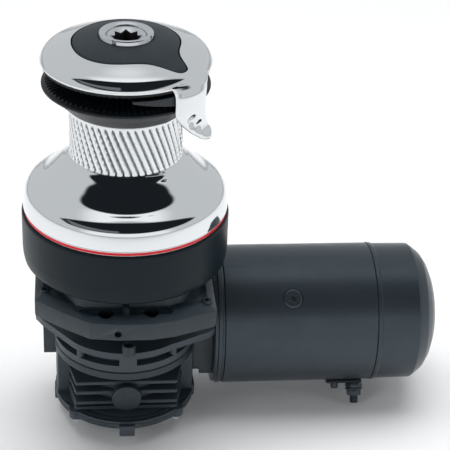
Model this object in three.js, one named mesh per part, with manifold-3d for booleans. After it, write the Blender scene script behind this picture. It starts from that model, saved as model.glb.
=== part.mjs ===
// Electric self-tailing sailboat winch with a worm gearbox and a horizontal motor.
// Millimetres. +Z is up along the winch axis, +X runs along the motor, -Y is the front.
// z = 0 is the flat foot under the gearbox cover.
import * as THREE from 'three';
import { mergeVertices } from 'three/addons/utils/BufferGeometryUtils.js';
import Module from 'manifold-3d';

const wasm = await Module();
wasm.setup();

const DEG = Math.PI / 180;
const GAP = 0.3; // air between pieces that touch

// ---- driving heights on the winch axis ----
const COVER_BOTTOM_Z = 4.5;
const COVER_TOP_Z = 9.9;
const PLATE_BOTTOM_Z = 77;
const PLATE_TOP_Z = 83;
const ADAPTER_RIM_BOTTOM_Z = 114.2;
const ADAPTER_RIM_TOP_Z = 129.6;
const ADAPTER_FACE_Z = 134.2;
const DECK_Z = 144.6;
const BASE_FLOOR_Z = 150.1;
const BASE_TOP_Z = 188.6;
const SKIRT_Z = 193.2;
const DRUM_TOP_Z = 282.2;
const JAW_LIP_Z = 301;
const CAP_RIM_Z = 319;
const CAP_TOP_Z = 339.2;
const RING_TOP_Z = 342.9;

// ---- driving radii ----
const BASE_R = 84.9;
const DRUM_R = 45.4;
const JAW_R = 66.7;
const HOUSING_R = 60.2;
const STEM_R = 30;
const SHAFT_R = 11.8;
const HEAD_R = 15.2;

// ---- worm drive and motor ----
const MOTOR_Y = 30;
const MOTOR_Z = 61.5;
const MOTOR_R = 60.8;
const FLANGE_X = 75.9;
const TUBE_X = 84.6;
const TUBE_END_X = 216;
const MOTOR_END_X = 274.5;
const TERMINAL_ANGLE = 151; // degrees about X from straight up to the terminal side

// ---- gear train, module 2 ----
const MODULE = 2;
const ADDENDUM = 1.8;
const DEDENDUM = 2.4;
const RING_TEETH = 64;
const PINION_TEETH = 18;
const IDLER_TEETH = 29;
const CENTRE_TEETH = 17;
const WHEEL_TEETH = 22;
const IDLER_Y = (RING_TEETH - PINION_TEETH) * MODULE / 2;
const LOW_GEAR_Z = [174, 188.4];
const HIGH_GEAR_Z = [196, 206.8];
const WORM_PITCH_R = 8;
const WORM_HALF_LENGTH = 16;

const group = new THREE.Group();
group.name = 'sailboat_winch';

// ---------------------------------------------------------------- materials
const chrome = () => new THREE.MeshStandardMaterial({ color: 0xd8dadd, roughness: 0.08, metalness: 1 });
const satinSteel = () => new THREE.MeshStandardMaterial({ color: 0xb8bbbf, roughness: 0.35, metalness: 1 });
const gearSteel = () => new THREE.MeshStandardMaterial({ color: 0x8f9398, roughness: 0.4, metalness: 1 });
const bronze = () => new THREE.MeshStandardMaterial({ color: 0xa9793c, roughness: 0.4, metalness: 1 });
const copper = () => new THREE.MeshStandardMaterial({ color: 0xb06a42, roughness: 0.35, metalness: 1 });
const blackCasting = () => new THREE.MeshStandardMaterial({ color: 0x2f343a, roughness: 0.6, metalness: 0.3 });
const blackPaint = () => new THREE.MeshStandardMaterial({ color: 0x2b3036, roughness: 0.4, metalness: 0.4 });
const blackAnodised = () => new THREE.MeshStandardMaterial({ color: 0x1c1f23, roughness: 0.35, metalness: 0.5 });
const blackPlastic = () => new THREE.MeshStandardMaterial({ color: 0x14161a, roughness: 0.5, metalness: 0 });
const greyPlastic = () => new THREE.MeshStandardMaterial({ color: 0x3b4148, roughness: 0.5, metalness: 0 });
const redTrim = () => new THREE.MeshStandardMaterial({ color: 0xd8323a, roughness: 0.4, metalness: 0 });
const carbon = () => new THREE.MeshStandardMaterial({ color: 0x262626, roughness: 0.7, metalness: 0.1 });

// ------------------------------------------------------------------ helpers
// Closed triangle solid from a three.js geometry.
function solid(geometry) {
  const bare = geometry.clone();
  bare.deleteAttribute('normal');
  bare.deleteAttribute('uv');
  const merged = mergeVertices(bare, 1e-4);
  const index = merged.index.array;
  const kept = [];
  for (let i = 0; i < index.length; i += 3) {
    const [a, b, c] = [index[i], index[i + 1], index[i + 2]];
    if (a !== b && b !== c && c !== a) kept.push(a, b, c);
  }
  return new wasm.Manifold(new wasm.Mesh({
    numProp: 3,
    vertProperties: new Float32Array(merged.attributes.position.array),
    triVerts: new Uint32Array(kept),
  }));
}

// Adds one named mesh to the part.
function place(name, body, material) {
  const mesh = body.getMesh();
  const geometry = new THREE.BufferGeometry();
  geometry.setAttribute('position', new THREE.BufferAttribute(new Float32Array(mesh.vertProperties), 3));
  geometry.setIndex(new THREE.BufferAttribute(new Uint32Array(mesh.triVerts), 1));
  const object = new THREE.Mesh(geometry, material);
  object.name = name;
  group.add(object);
}

// Solid of revolution about Z from a closed [radius, z] outline, listed either way round.
function turned(outline, segments = 20) {
  let area = 0;
  outline.forEach(([r, z], i) => {
    const [nextR, nextZ] = outline[(i + 1) % outline.length];
    area += r * nextZ - nextR * z;
  });
  const ordered = area > 0 ? [...outline] : [...outline].reverse();
  ordered.push(ordered[0]);
  const points = ordered.map(([r, z]) => new THREE.Vector2(r, z));
  const geometry = new THREE.LatheGeometry(points, segments);
  geometry.rotateX(90 * DEG);
  return solid(geometry);
}

// The same, turned so that its axis lies along +X through the motor axis.
function turnedX(outline, segments = 20) {
  return alongMotor(turned(outline, segments));
}

function alongMotor(body) {
  return body.rotate([0, 90, 0]).translate([0, MOTOR_Y, MOTOR_Z]);
}

function cylinder(radius, z0, z1, x = 0, y = 0, segments = 10) {
  return turned([[0, z0], [radius, z0], [radius, z1], [0, z1]], segments).translate([x, y, 0]);
}

function cylinderX(radius, x0, x1, segments = 20) {
  return alongMotor(cylinder(radius, x0, x1, 0, 0, segments));
}

// Cylinder along Y, from the front face yFront back to yBack.
function cylinderY(radius, yFront, yBack, x, z, segments = 20) {
  return cylinder(radius, -yBack, -yFront, 0, 0, segments).rotate([90, 0, 0]).translate([x, 0, z]);
}

function block(x, y, z) {
  const geometry = new THREE.BoxGeometry(x[1] - x[0], y[1] - y[0], z[1] - z[0]);
  geometry.translate((x[0] + x[1]) / 2, (y[0] + y[1]) / 2, (z[0] + z[1]) / 2);
  return solid(geometry);
}

function prism(shape, z0, z1, curveSegments = 8, steps = 1) {
  const geometry = new THREE.ExtrudeGeometry(shape, {
    depth: z1 - z0,
    bevelEnabled: false,
    curveSegments,
    steps,
  });
  geometry.translate(0, 0, z0);
  return solid(geometry);
}

// Prism whose cross-section turns as it rises, by degrees per mm about Z.
function twistedPrism(shape, z0, z1, steps, degreesPerMm, middleZ) {
  const geometry = new THREE.ExtrudeGeometry(shape, { depth: z1 - z0, bevelEnabled: false, steps });
  geometry.translate(0, 0, z0);
  const position = geometry.attributes.position;
  for (let i = 0; i < position.count; i += 1) {
    const angle = (position.getZ(i) - middleZ) * degreesPerMm * DEG;
    const [x, y] = [position.getX(i), position.getY(i)];
    position.setX(i, x * Math.cos(angle) - y * Math.sin(angle));
    position.setY(i, x * Math.sin(angle) + y * Math.cos(angle));
  }
  return solid(geometry);
}

function outlineShape(points) {
  return new THREE.Shape(points.map(([x, y]) => new THREE.Vector2(x, y)));
}

function regularShape(sides, radius, turn = 0) {
  const points = [];
  for (let i = 0; i < sides; i += 1) {
    const angle = turn + i * 2 * Math.PI / sides;
    points.push([radius * Math.cos(angle), radius * Math.sin(angle)]);
  }
  return outlineShape(points);
}

// Flat sector used to cut or keep part of a ring, between two angles in degrees.
function sector(radius, fromDeg, toDeg, z0, z1) {
  const points = [[0, 0]];
  const steps = Math.ceil((toDeg - fromDeg) / 20);
  for (let i = 0; i <= steps; i += 1) {
    const angle = (fromDeg + (toDeg - fromDeg) * i / steps) * DEG;
    points.push([radius * Math.cos(angle), radius * Math.sin(angle)]);
  }
  return prism(outlineShape(points), z0, z1);
}

function around(count, startDeg, make) {
  return Array.from({ length: count }, (_, i) => make(startDeg + i * 360 / count, i));
}

function union(bodies) {
  return bodies.reduce((sum, body) => sum.add(body));
}

// Gear outline with straight-sided teeth that narrow towards the tip.
// thick is the tooth's share of the pitch at the pitch circle, tipThick at the tip.
function toothedPoints(teeth, rootR, tipR, rootThick, tipThick, turnDeg) {
  const points = [];
  const pitchAngle = 2 * Math.PI / teeth;
  for (let i = 0; i < teeth; i += 1) {
    const centre = turnDeg * DEG + i * pitchAngle;
    const corners = [
      [rootR, -rootThick / 2],
      [tipR, -tipThick / 2],
      [tipR, tipThick / 2],
      [rootR, rootThick / 2],
    ];
    corners.forEach(([r, share]) => {
      const angle = centre + share * pitchAngle;
      points.push([r * Math.cos(angle), r * Math.sin(angle)]);
    });
  }
  return points;
}

function spurGear(teeth, z, turnDeg) {
  const pitchR = teeth * MODULE / 2;
  const points = toothedPoints(teeth, pitchR - DEDENDUM, pitchR + ADDENDUM, 0.66, 0.2, turnDeg);
  return prism(outlineShape(points), z[0], z[1]);
}

// ------------------------------------------------------- gearbox and its foot
const EAR_ANGLES = [42, 138, 222, 318];
const EAR_PITCH_R = 57;
const EAR_R = 6.4;
const COVER_LUG_HALF = 6.5;
const PLATE_BOSS_ANGLES = [-132, -47.4];

function gearHousing() {
  const cavityR = 33;
  let body = turned([
    [0, COVER_TOP_Z + GAP], [HOUSING_R, COVER_TOP_Z + GAP], [HOUSING_R, 15],
    [59.4, 15.6], [59.4, 55.4], [HOUSING_R, 56], [HOUSING_R, PLATE_TOP_Z - 1], [0, PLATE_TOP_Z - 1],
  ], 32);
  body = body.add(prism(topPlateShape(), PLATE_BOTTOM_Z, PLATE_TOP_Z, 7));
  body = body.add(wormCasing());
  EAR_ANGLES.forEach((angle) => {
    const [x, y] = [EAR_PITCH_R * Math.cos(angle * DEG), EAR_PITCH_R * Math.sin(angle * DEG)];
    body = body.add(cylinder(EAR_R, COVER_TOP_Z + GAP, 18, x, y, 8));
  });
  body = body.subtract(finnedFlat());
  body = body.add(cylinderY(11, -42, -33.5, 0, 28.2, 20));
  body = body.add(cylinder(5.6, PLATE_TOP_Z - 1, 92, 1, -60.5, 14));
  body = body.subtract(cylinder(3.4, 84, 93, 1, -60.5, 12));
  body = body.subtract(windowRecesses());
  PLATE_BOSS_ANGLES.forEach((angle) => {
    const [x, y] = [56.6 * Math.cos(angle * DEG), 56.6 * Math.sin(angle * DEG)];
    body = body.add(cylinder(3.7, 71, PLATE_BOTTOM_Z + 1, x, y, 10));
  });
  // wheel chamber, upper bearing seat, worm tunnel with its two bearing seats, plug hole
  body = body.subtract(cylinder(cavityR, COVER_TOP_Z, 74, 0, 0, 24));
  body = body.subtract(cylinder(15.3, 73, 93, 0, 0, 20));
  body = body.subtract(cylinderX(12, -66, 80, 18));
  body = body.subtract(cylinderX(14.3, -66, -53.7, 20));
  body = body.subtract(cylinderX(14.3, 51.7, 80, 20));
  body = body.subtract(cylinderY(8.4, -45, -20, 0, 28.2, 20));
  EAR_ANGLES.forEach((angle) => {
    const [x, y] = [EAR_PITCH_R * Math.cos(angle * DEG), EAR_PITCH_R * Math.sin(angle * DEG)];
    body = body.subtract(cylinder(2.4, COVER_TOP_Z, 15.2, x, y, 8));
  });
  place('gear_housing', body, blackCasting());
}

// Bolting plate over the gearbox: round in front, running out to a wing at each side.
function topPlateShape() {
  const shape = new THREE.Shape();
  shape.moveTo(-70, 58);
  shape.lineTo(-75, 52);
  shape.lineTo(-76, 3);
  shape.lineTo(-70, -8);
  shape.absarc(0, 0, 61.2, 225 * DEG, 306 * DEG, false);
  shape.lineTo(70, -31.5);
  shape.lineTo(75, -26);
  shape.lineTo(75, 52);
  shape.lineTo(70, 58);
  return shape;
}

function wormCasing() {
  const farHalf = 24;
  const nearHalf = 36.4;
  const lipHalf = 41.5;
  const far = block([-70, -40], [MOTOR_Y - farHalf, MOTOR_Y + farHalf], [MOTOR_Z - farHalf, PLATE_BOTTOM_Z + 1]);
  const near = block([40, 66], [MOTOR_Y - nearHalf, MOTOR_Y + nearHalf], [MOTOR_Z - nearHalf, PLATE_BOTTOM_Z + 1]);
  const lip = block([65, 75.6], [MOTOR_Y - nearHalf, MOTOR_Y + nearHalf], [MOTOR_Z - lipHalf, MOTOR_Z + lipHalf]);
  return far.add(near).add(lip);
}

// Flat face cut into the front of the housing, leaving four level cooling fins.
function finnedFlat() {
  const flatY = -42;
  const pocketY = -36.8;
  const cut = new THREE.Shape([
    new THREE.Vector2(-70, 55.8), new THREE.Vector2(-60.2, 55.8), new THREE.Vector2(flatY, 42.6),
    new THREE.Vector2(flatY, 15.2), new THREE.Vector2(-70, 15.2),
  ]);
  const geometry = new THREE.ExtrudeGeometry(cut, { depth: 140, bevelEnabled: false });
  geometry.rotateX(90 * DEG);
  geometry.rotateZ(90 * DEG);
  geometry.translate(-70, 0, 0);
  const wedge = solid(geometry);
  const pockets = [[32, 39.4], [21, 29], [15.2, 17.8]];
  const slots = pockets.map((z) => block([-41, 42.5], [-60, pocketY], z));
  return union([wedge, ...slots]);
}

// Two shallow recesses round the front of the housing, just under the bolting plate.
function windowRecesses() {
  const band = turned([[53, 69.6], [64, 69.6], [64, PLATE_BOTTOM_Z], [53, PLATE_BOTTOM_Z]], 32);
  const left = sector(70, -166, -96.4, 60, 90);
  const right = sector(70, -82.6, -22, 60, 90);
  return band.intersect(left.add(right));
}

function housingPlug() {
  const head = cylinderY(12.4, -49.2, -42 - GAP, 0, 28.2, 28);
  place('housing_plug', head.add(cylinderY(8, -43, -36, 0, 28.2, 20)), blackCasting());
}

function bottomCover() {
  let body = turned([
    [0, 0], [21, 0], [22, 1], [22, COVER_BOTTOM_Z], [HOUSING_R - 1.2, COVER_BOTTOM_Z],
    [HOUSING_R, COVER_BOTTOM_Z + 1.2], [HOUSING_R, COVER_TOP_Z], [19, COVER_TOP_Z],
    [19, 18], [15.3, 18], [15.3, 10.2], [0, 10.2],
  ], 28);
  around(4, 0, (angle) => {
    const lug = block([50, 63.4], [-COVER_LUG_HALF, COVER_LUG_HALF], [0, COVER_TOP_Z]);
    body = body.add(lug.rotate([0, 0, angle]));
  });
  EAR_ANGLES.forEach((angle) => {
    const [x, y] = [EAR_PITCH_R * Math.cos(angle * DEG), EAR_PITCH_R * Math.sin(angle * DEG)];
    body = body.add(cylinder(EAR_R, COVER_BOTTOM_Z, COVER_TOP_Z, x, y, 8));
    body = body.subtract(cylinder(2.6, COVER_BOTTOM_Z - 1, COVER_TOP_Z + 1, x, y, 8));
  });
  place('bottom_cover', body, blackCasting());
}

function coverScrews() {
  EAR_ANGLES.forEach((angle, i) => {
    const [x, y] = [EAR_PITCH_R * Math.cos(angle * DEG), EAR_PITCH_R * Math.sin(angle * DEG)];
    const head = prism(regularShape(6, 4.4), 0.6, COVER_BOTTOM_Z - GAP).translate([x, y, 0]);
    place(`cover_screw_${i + 1}`, head.add(cylinder(2.1, 3, 14.5, x, y, 8)), satinSteel());
  });
}

// ------------------------------------------------------------- worm and wheel
const WORM_LEAD = Math.PI * MODULE;
const WORM_PHASE = -90; // degrees, puts the thread in the wheel's tooth spaces

// Cross-section of a single-start worm: a disc with one swelling where the thread passes.
function wormShape() {
  const rootR = WORM_PITCH_R - DEDENDUM + 0.2;
  const tipR = WORM_PITCH_R + ADDENDUM;
  const flank = [0.35, 0.13]; // half thickness as a share of the lead, at root and at tip
  const middle = (flank[0] + flank[1]) / 2;
  const corners = [
    [-flank[0], rootR], [-middle, (rootR + tipR) / 2], [-flank[1], tipR], [flank[1], tipR],
    [middle, (rootR + tipR) / 2], [flank[0], rootR], [0.5, rootR],
  ];
  return outlineShape(corners.map(([share, r]) => {
    const angle = share * 2 * Math.PI;
    return [r * Math.cos(angle), r * Math.sin(angle)];
  }));
}

function wormShaft() {
  const thread = twistedPrism(wormShape(), -WORM_HALF_LENGTH, WORM_HALF_LENGTH, 46, 360 / WORM_LEAD, 0)
    .rotate([0, 0, WORM_PHASE]);
  const shaft = turned([
    [0, -65.5], [6, -65.5], [6, -52.5], [7.4, -52.5], [7.4, -24], [4.6, -20], [4.6, 20], [7.4, 24],
    [7.4, 50.5], [6, 50.5], [6, 88], [0, 88],
  ], 16);
  place('worm_shaft', alongMotor(thread.add(shaft)), gearSteel());
}

function wormWheel() {
  const pitchR = WHEEL_TEETH * MODULE / 2;
  const leadSlope = WORM_LEAD / (2 * Math.PI * WORM_PITCH_R);
  const degreesPerMm = leadSlope / pitchR / DEG;
  const half = 6;
  const points = toothedPoints(WHEEL_TEETH, pitchR - DEDENDUM, pitchR + ADDENDUM, 0.62, 0.2,
    90 + 180 / WHEEL_TEETH);
  let body = twistedPrism(outlineShape(points), MOTOR_Z - half, MOTOR_Z + half, 1, degreesPerMm, MOTOR_Z);
  body = body.add(cylinder(13, MOTOR_Z - 11, MOTOR_Z + 10, 0, 0, 18));
  place('worm_wheel', body.subtract(cylinder(8.3, 40, 90, 0, 0, 18)), bronze());
}

function outputShaft() {
  place('output_shaft', turned([
    [0, 11], [8, 11], [8, 124.5], [7, 125.5], [0, 125.5],
  ], 18), gearSteel());
}

// Sealed ball bearing, drawn as one ring.
function bearingOutline(inner, outer, start, end) {
  return [[inner, start], [outer, start], [outer, end], [inner, end]];
}

function bearings() {
  place('output_bearing_lower', turned(bearingOutline(8.3, 15, 10.5, 17.8), 14), satinSteel());
  place('output_bearing_upper', turned(bearingOutline(8.3, 15, 74.3, 82.6), 14), satinSteel());
  place('worm_bearing_far', turnedX(bearingOutline(6.3, 14, -64, -54), 14), satinSteel());
  place('worm_bearing_near', turnedX(bearingOutline(6.3, 14, 52, 62), 14), satinSteel());
  place('motor_bearing_front', turnedX(bearingOutline(9.3, 17, 79, 88), 14), satinSteel());
  place('motor_bearing_rear', turnedX(bearingOutline(9.3, 17, 256, 265), 14), satinSteel());
}

// -------------------------------------------------------------------- adapter
const ADAPTER_OUTLINE = [
  [-75, -49], [-54, -68], [-31, -85.5], [-8, -88.5], [18, -88.5], [37, -84.5], [58, -76], [71.5, -70.5],
  [71.5, 70.5], [58, 76], [37, 84.5], [18, 88.5], [-8, 88.5], [-31, 85.5], [-54, 68], [-75, 49],
];
const DECK_HOLES = { x: 18, y: 76.5, r: 6.4 };
const ADAPTER_SCREWS = [[-66.5, -41], [63.5, -62.5], [63.5, 62.5], [-66.5, 41]];
const SCREW_SEAT_Z = 131.6;

// Prism whose top outline is drawn in towards the axis.
function taperedPrism(points, z0, z1, topScale) {
  const geometry = new THREE.ExtrudeGeometry(outlineShape(points), { depth: z1 - z0, bevelEnabled: false });
  geometry.translate(0, 0, z0);
  const position = geometry.attributes.position;
  for (let i = 0; i < position.count; i += 1) {
    if (position.getZ(i) > z1 - 0.01) {
      position.setX(i, position.getX(i) * topScale);
      position.setY(i, position.getY(i) * topScale);
    }
  }
  return solid(geometry);
}

function adapter() {
  const inner = ADAPTER_OUTLINE.map(([x, y]) => [x * 0.925, y * 0.925]);
  let body = prism(outlineShape(ADAPTER_OUTLINE), ADAPTER_RIM_BOTTOM_Z, ADAPTER_RIM_TOP_Z);
  body = body.add(taperedPrism(ADAPTER_OUTLINE, ADAPTER_RIM_TOP_Z - 0.01, ADAPTER_FACE_Z, 0.9));
  body = body.subtract(prism(outlineShape(inner), ADAPTER_RIM_BOTTOM_Z - 1, 126.5));
  // raised seat under the winch base, with its front rib
  body = body.add(prism(outlineShape([
    [-58, -36], [-42, -66], [-36, -69], [34, -69], [44, -64], [58, -36],
    [58, 36], [44, 64], [34, 69], [-36, 69], [-42, 66], [-58, 36],
  ]), 130, DECK_Z - GAP));
  body = body.add(block([-5, 1], [-80, -66], [130, 141]));
  body = body.subtract(block([-34, 32], [-75, -62.5], [ADAPTER_FACE_Z, 139.4])
    .subtract(block([-5, 1], [-80, -60], [130, 141])));
  // neck down to the gearbox
  body = body.add(turned([[17.5, PLATE_TOP_Z + GAP], [44, PLATE_TOP_Z + GAP], [44, 89], [36, 95],
    [36, 131], [17.5, 131]], 20));
  body = body.subtract(cylinder(17.5, 80, 150, 0, 0, 20));
  [[-1, -1], [1, -1], [1, 1], [-1, 1]].forEach(([sx, sy]) => {
    body = body.subtract(cylinder(DECK_HOLES.r, 120, 150, sx * DECK_HOLES.x, sy * DECK_HOLES.y, 16));
  });
  ADAPTER_SCREWS.forEach(([x, y]) => {
    body = body.subtract(cylinder(5.2, SCREW_SEAT_Z, 143, x, y, 14));
    body = body.subtract(cylinder(2.4, 120, 140, x, y, 8));
  });
  body = body.subtract(cylinderY(3, -95, -78, -8.6, 120.5, 16));
  place('adapter_flange', body, blackCasting());
}

function adapterScrews() {
  ADAPTER_SCREWS.forEach(([x, y], i) => {
    const head = turned([[0, SCREW_SEAT_Z + GAP], [4.1, SCREW_SEAT_Z + GAP], [4.1, 134], [3, 135.2],
      [0, 135.2]], 12).translate([x, y, 0]);
    const socket = prism(regularShape(6, 2.2), 133.2, 137).translate([x, y, 0]);
    const shank = cylinder(2.1, 120.5, SCREW_SEAT_Z + 1, x, y, 8);
    place(`adapter_screw_${i + 1}`, head.add(shank).subtract(socket), satinSteel());
  });
}

// ---------------------------------------------------------- base and gear train
// The base's outer ring sits on the deck, and the rest of its underside clears the adapter's seat.
function base() {
  const body = turned([
    [12.6, DECK_Z + GAP], [79, DECK_Z + GAP], [79, DECK_Z], [82, DECK_Z], [83.7, 146.4],
    [BASE_R, 156], [BASE_R, 186.8], [84.2, BASE_TOP_Z], [80.6, BASE_TOP_Z], [80.6, BASE_FLOOR_Z],
    [12.6, BASE_FLOOR_Z],
  ], 40);
  place('winch_base', body, blackPaint());
}

function trimRing() {
  place('trim_ring', turned([
    [79.4, BASE_TOP_Z + GAP], [82.9, BASE_TOP_Z + GAP], [82.9, SKIRT_Z - GAP], [79.4, SKIRT_Z - GAP],
  ], 40), redTrim());
}

function stem() {
  let body = turned([
    [20.6, BASE_FLOOR_Z + GAP], [38, BASE_FLOOR_Z + GAP], [38, 155], [33, 158], [STEM_R, 161],
    [STEM_R, 320], [15.9, 320], [15.9, 216], [20.6, 211],
  ], 24);
  body = body.subtract(cylinder(32.2, 172.6, 195, 0, IDLER_Y, 18));
  body = body.subtract(cylinder(20.6, 190, 207.6, 0, IDLER_Y, 16));
  place('centre_stem', body, satinSteel());
}

const SOCKET_CORNER_R = 12.3; // two squares 17.4 across flats, turned 45 degrees apart

function mainShaft() {
  let body = turned([
    [0, 111], [SHAFT_R, 111], [SHAFT_R, 311], [HEAD_R, 313], [HEAD_R, 340.2], [12.9, 339.4], [0, 339.4],
  ], 28);
  const square = regularShape(4, SOCKET_CORNER_R, 0);
  const turnedSquare = regularShape(4, SOCKET_CORNER_R, 45 * DEG);
  const star = prism(square, 318, 345).add(prism(turnedSquare, 318, 345));
  const leadIn = turned([[0, 334.6], [8.8, 334.6], [13.4, 340], [0, 340]], 24);
  body = body.subtract(star).subtract(leadIn);
  body = body.subtract(cylinder(8.3, 110, 126.5, 0, 0, 18));
  place('main_shaft', body, satinSteel());
}

function gearTrain() {
  const centre = spurGear(CENTRE_TEETH, LOW_GEAR_Z, 90);
  place('centre_gear', centre.subtract(cylinder(SHAFT_R + 0.4, 170, 192, 0, 0, 24)), gearSteel());

  const large = spurGear(IDLER_TEETH, LOW_GEAR_Z, -90 + 180 / IDLER_TEETH);
  const small = spurGear(PINION_TEETH, HIGH_GEAR_Z, 90);
  const hub = cylinder(14, LOW_GEAR_Z[1] - 1, HIGH_GEAR_Z[0] + 1, 0, 0, 16);
  const bore = cylinder(8.1, 170, 210, 0, 0, 18);
  place('idler_gear', large.add(small).add(hub).subtract(bore).translate([0, IDLER_Y, 0]), bronze());
  place('idler_spindle', cylinder(7.6, BASE_FLOOR_Z + GAP, 207, 0, IDLER_Y, 18), gearSteel());

  const pitchR = RING_TEETH * MODULE / 2;
  const blank = regularShape(32, 78.2);
  const spaces = toothedPoints(RING_TEETH, pitchR - ADDENDUM, pitchR + DEDENDUM, 0.8, 0.36, 90);
  blank.holes.push(new THREE.Path(spaces.map(([x, y]) => new THREE.Vector2(x, y))));
  place('ring_gear', prism(blank, HIGH_GEAR_Z[0], HIGH_GEAR_Z[1]), gearSteel());
}

// ------------------------------------------------------------------------ drum
const FLUTE_COUNT = 48;
const FLUTE_Z = [239.8, 277.6];

function drum() {
  const valleyR = DRUM_R - 1.3;
  const coreR = DRUM_R - 1.9;
  let body = turned([
    [78.6, SKIRT_Z], [83.6, SKIRT_Z], [82.6, 204.5], [81, 209.4], [77, 213.6], [67, 219.8],
    [54, 231.8], [48, 237.2], [DRUM_R, 241], [coreR, 241], [coreR, FLUTE_Z[1]], [DRUM_R, FLUTE_Z[1]],
    [DRUM_R, DRUM_TOP_Z], [34.2, DRUM_TOP_Z], [34.2, 207.2], [78.6, 207.2],
  ], 40);
  const points = [];
  for (let i = 0; i < FLUTE_COUNT * 2; i += 1) {
    const angle = i * Math.PI / FLUTE_COUNT;
    const r = i % 2 === 0 ? DRUM_R : valleyR;
    points.push([r * Math.cos(angle), r * Math.sin(angle)]);
  }
  const slopeDegPerMm = Math.tan(22 * DEG) / DRUM_R / DEG;
  const shape = outlineShape(points);
  shape.holes.push(regularShape(16, DRUM_R - 5));
  const flutes = twistedPrism(shape, FLUTE_Z[0], FLUTE_Z[1] + 1, 2, -slopeDegPerMm, FLUTE_Z[0]);
  body = body.add(flutes);
  place('drum', body, chrome());
}

function rollerBearings() {
  [['lower', 208, 229.5], ['upper', 262.5, 281.5]].forEach(([which, z0, z1]) => {
    const rollers = outlineShape(toothedPoints(14, 32.8, 33.7, 0.7, 0.4, 0));
    rollers.holes.push(regularShape(24, 30.7));
    place(`drum_bearing_${which}`, prism(rollers, z0, z1), satinSteel());
  });
}

// ------------------------------------------------------------ self-tailing jaws
const RIB_COUNT = 12;

// Radial gripping ribs laid along a jaw face from the inner to the outer [radius, z] point.
function gripRibs(inner, outer, height) {
  const slope = Math.atan2(outer[1] - inner[1], outer[0] - inner[0]) / DEG;
  const length = Math.hypot(outer[0] - inner[0], outer[1] - inner[1]);
  return union(around(RIB_COUNT, 0, (angle) => {
    const rib = block([0, length], [-0.9, 0.9], [Math.min(0, height), Math.max(0, height)]);
    return rib.rotate([0, -slope, 0]).translate([inner[0], 0, inner[1]]).rotate([0, 0, angle]);
  }));
}

function jaws() {
  const lower = turned([
    [46.1, 281.6], [47.2, 281.6], [57, 291.2], [JAW_R, 299], [JAW_R, JAW_LIP_Z], [60, 303],
    [46, 305], [36.9, 305], [36.9, 293], [46.1, 293],
  ], 30);
  place('lower_jaw', lower.add(gripRibs([47, 304.8], [64, 302.3], 1.1)), blackPlastic());

  const upper = turned([
    [36.9, 309.6], [46, 309.6], [60, 313.6], [66.2, 316], [66.2, 318.6], [62.5, 318.6], [50, 315],
    [36.9, 313.6],
  ], 30);
  place('upper_jaw', upper.add(gripRibs([47, 309.8], [64, 315.1], -1.1)), blackPlastic());

  place('jaw_hub', turned([
    [34.2, DRUM_TOP_Z + GAP], [36.6, DRUM_TOP_Z + GAP], [36.6, 318], [34.2, 318],
  ], 24), blackAnodised());
  around(3, 30, (angle, i) => jawSpring(angle, i + 1));
}

// Coil spring pushing the lower jaw up, on a ring of three.
function jawSpring(angleDeg, number) {
  const wireR = 0.7;
  const coilR = 3;
  const turns = 3;
  const z0 = DRUM_TOP_Z + GAP + wireR;
  const z1 = 293 - GAP - wireR;
  const pointsPerTurn = 7;
  const points = [];
  const steps = Math.round(turns * pointsPerTurn);
  for (let i = 0; i <= steps; i += 1) {
    const angle = i * 2 * Math.PI / pointsPerTurn;
    points.push(new THREE.Vector3(coilR * Math.cos(angle), coilR * Math.sin(angle),
      z0 + (z1 - z0) * i / steps));
  }
  const path = new THREE.CatmullRomCurve3(points);
  const geometry = new THREE.ExtrudeGeometry(regularShape(4, wireR), {
    steps,
    bevelEnabled: false,
    extrudePath: path,
  });
  const body = solid(geometry);
  const [x, y] = [41.3 * Math.cos(angleDeg * DEG), 41.3 * Math.sin(angleDeg * DEG)];
  place(`jaw_spring_${number}`, body.translate([x, y, 0]), satinSteel());
}

// Wedge fixed in the jaw gap that lifts the rope out of the grooves.
function peeler() {
  const wedge = turned([
    [48.6, 306.7], [67.1, 304.2], [67.1, 313.4], [61, 311.7], [48.6, 308.3],
  ], 72);
  place('rope_peeler', wedge.intersect(sector(80, -88, -48, 300, 318)), greyPlastic());
}

// ------------------------------------------------------------------- top cap
const DOME = [
  [22, CAP_TOP_Z], [30, 338.2], [40, 336.1], [50, 332.7], [62, 328], [65.4, 325.9],
  [67.1, 323.4], [67.4, CAP_RIM_Z],
];

const ARM_TURN = 46; // degrees round from the front towards the motor

function topCap() {
  let body = turned([
    ...DOME, [64, CAP_RIM_Z], [62, 322], [50, 327.3], [40, 330.4], [30, 330.6],
    [30, 320.4], [17.6, 320.4], [17.6, 336.4], [22, 336.4],
  ], 36);
  body = body.add(tailingArm());
  body = body.subtract(domeLayer(2.7, -6, 0.5));
  place('top_cap', body, chrome());
}

// Arm that leads the tail off the jaws: a strip of shell hanging from the rim at the front right.
function tailingArm() {
  const shell = turned([
    [66, 319.6], [67.4, 323], [69.6, 320], [70.9, 313], [71.4, 300], [71.6, 284], [72.4, 274], [74, 270],
    [71.4, 270], [68.9, 276], [68.2, 286], [67.9, 300], [67.6, 317], [66.8, 319.2],
  ], 36);
  // outline in the arm's own tangent plane: [sideways, height]
  const outline = outlineShape([
    [-23, 324], [-19.6, 319], [-18.4, 312], [-18.2, 297], [-15.2, 291.6], [-8, 283.4], [0.5, 275.6],
    [6, 271.6], [13, 269.4], [20, 270.4], [22.6, 273.4], [21, 277.6], [17.2, 282.6], [15.4, 290],
    [15, 304], [16.4, 313], [20, 318.6], [25, 324],
  ]);
  const geometry = new THREE.ExtrudeGeometry(outline, { depth: 60, bevelEnabled: false });
  geometry.rotateX(90 * DEG); // outline now stands in XZ and runs towards -Y
  geometry.translate(0, -40, 0);
  const cutter = solid(geometry).rotate([0, 0, ARM_TURN]);
  return shell.intersect(cutter);
}

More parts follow.
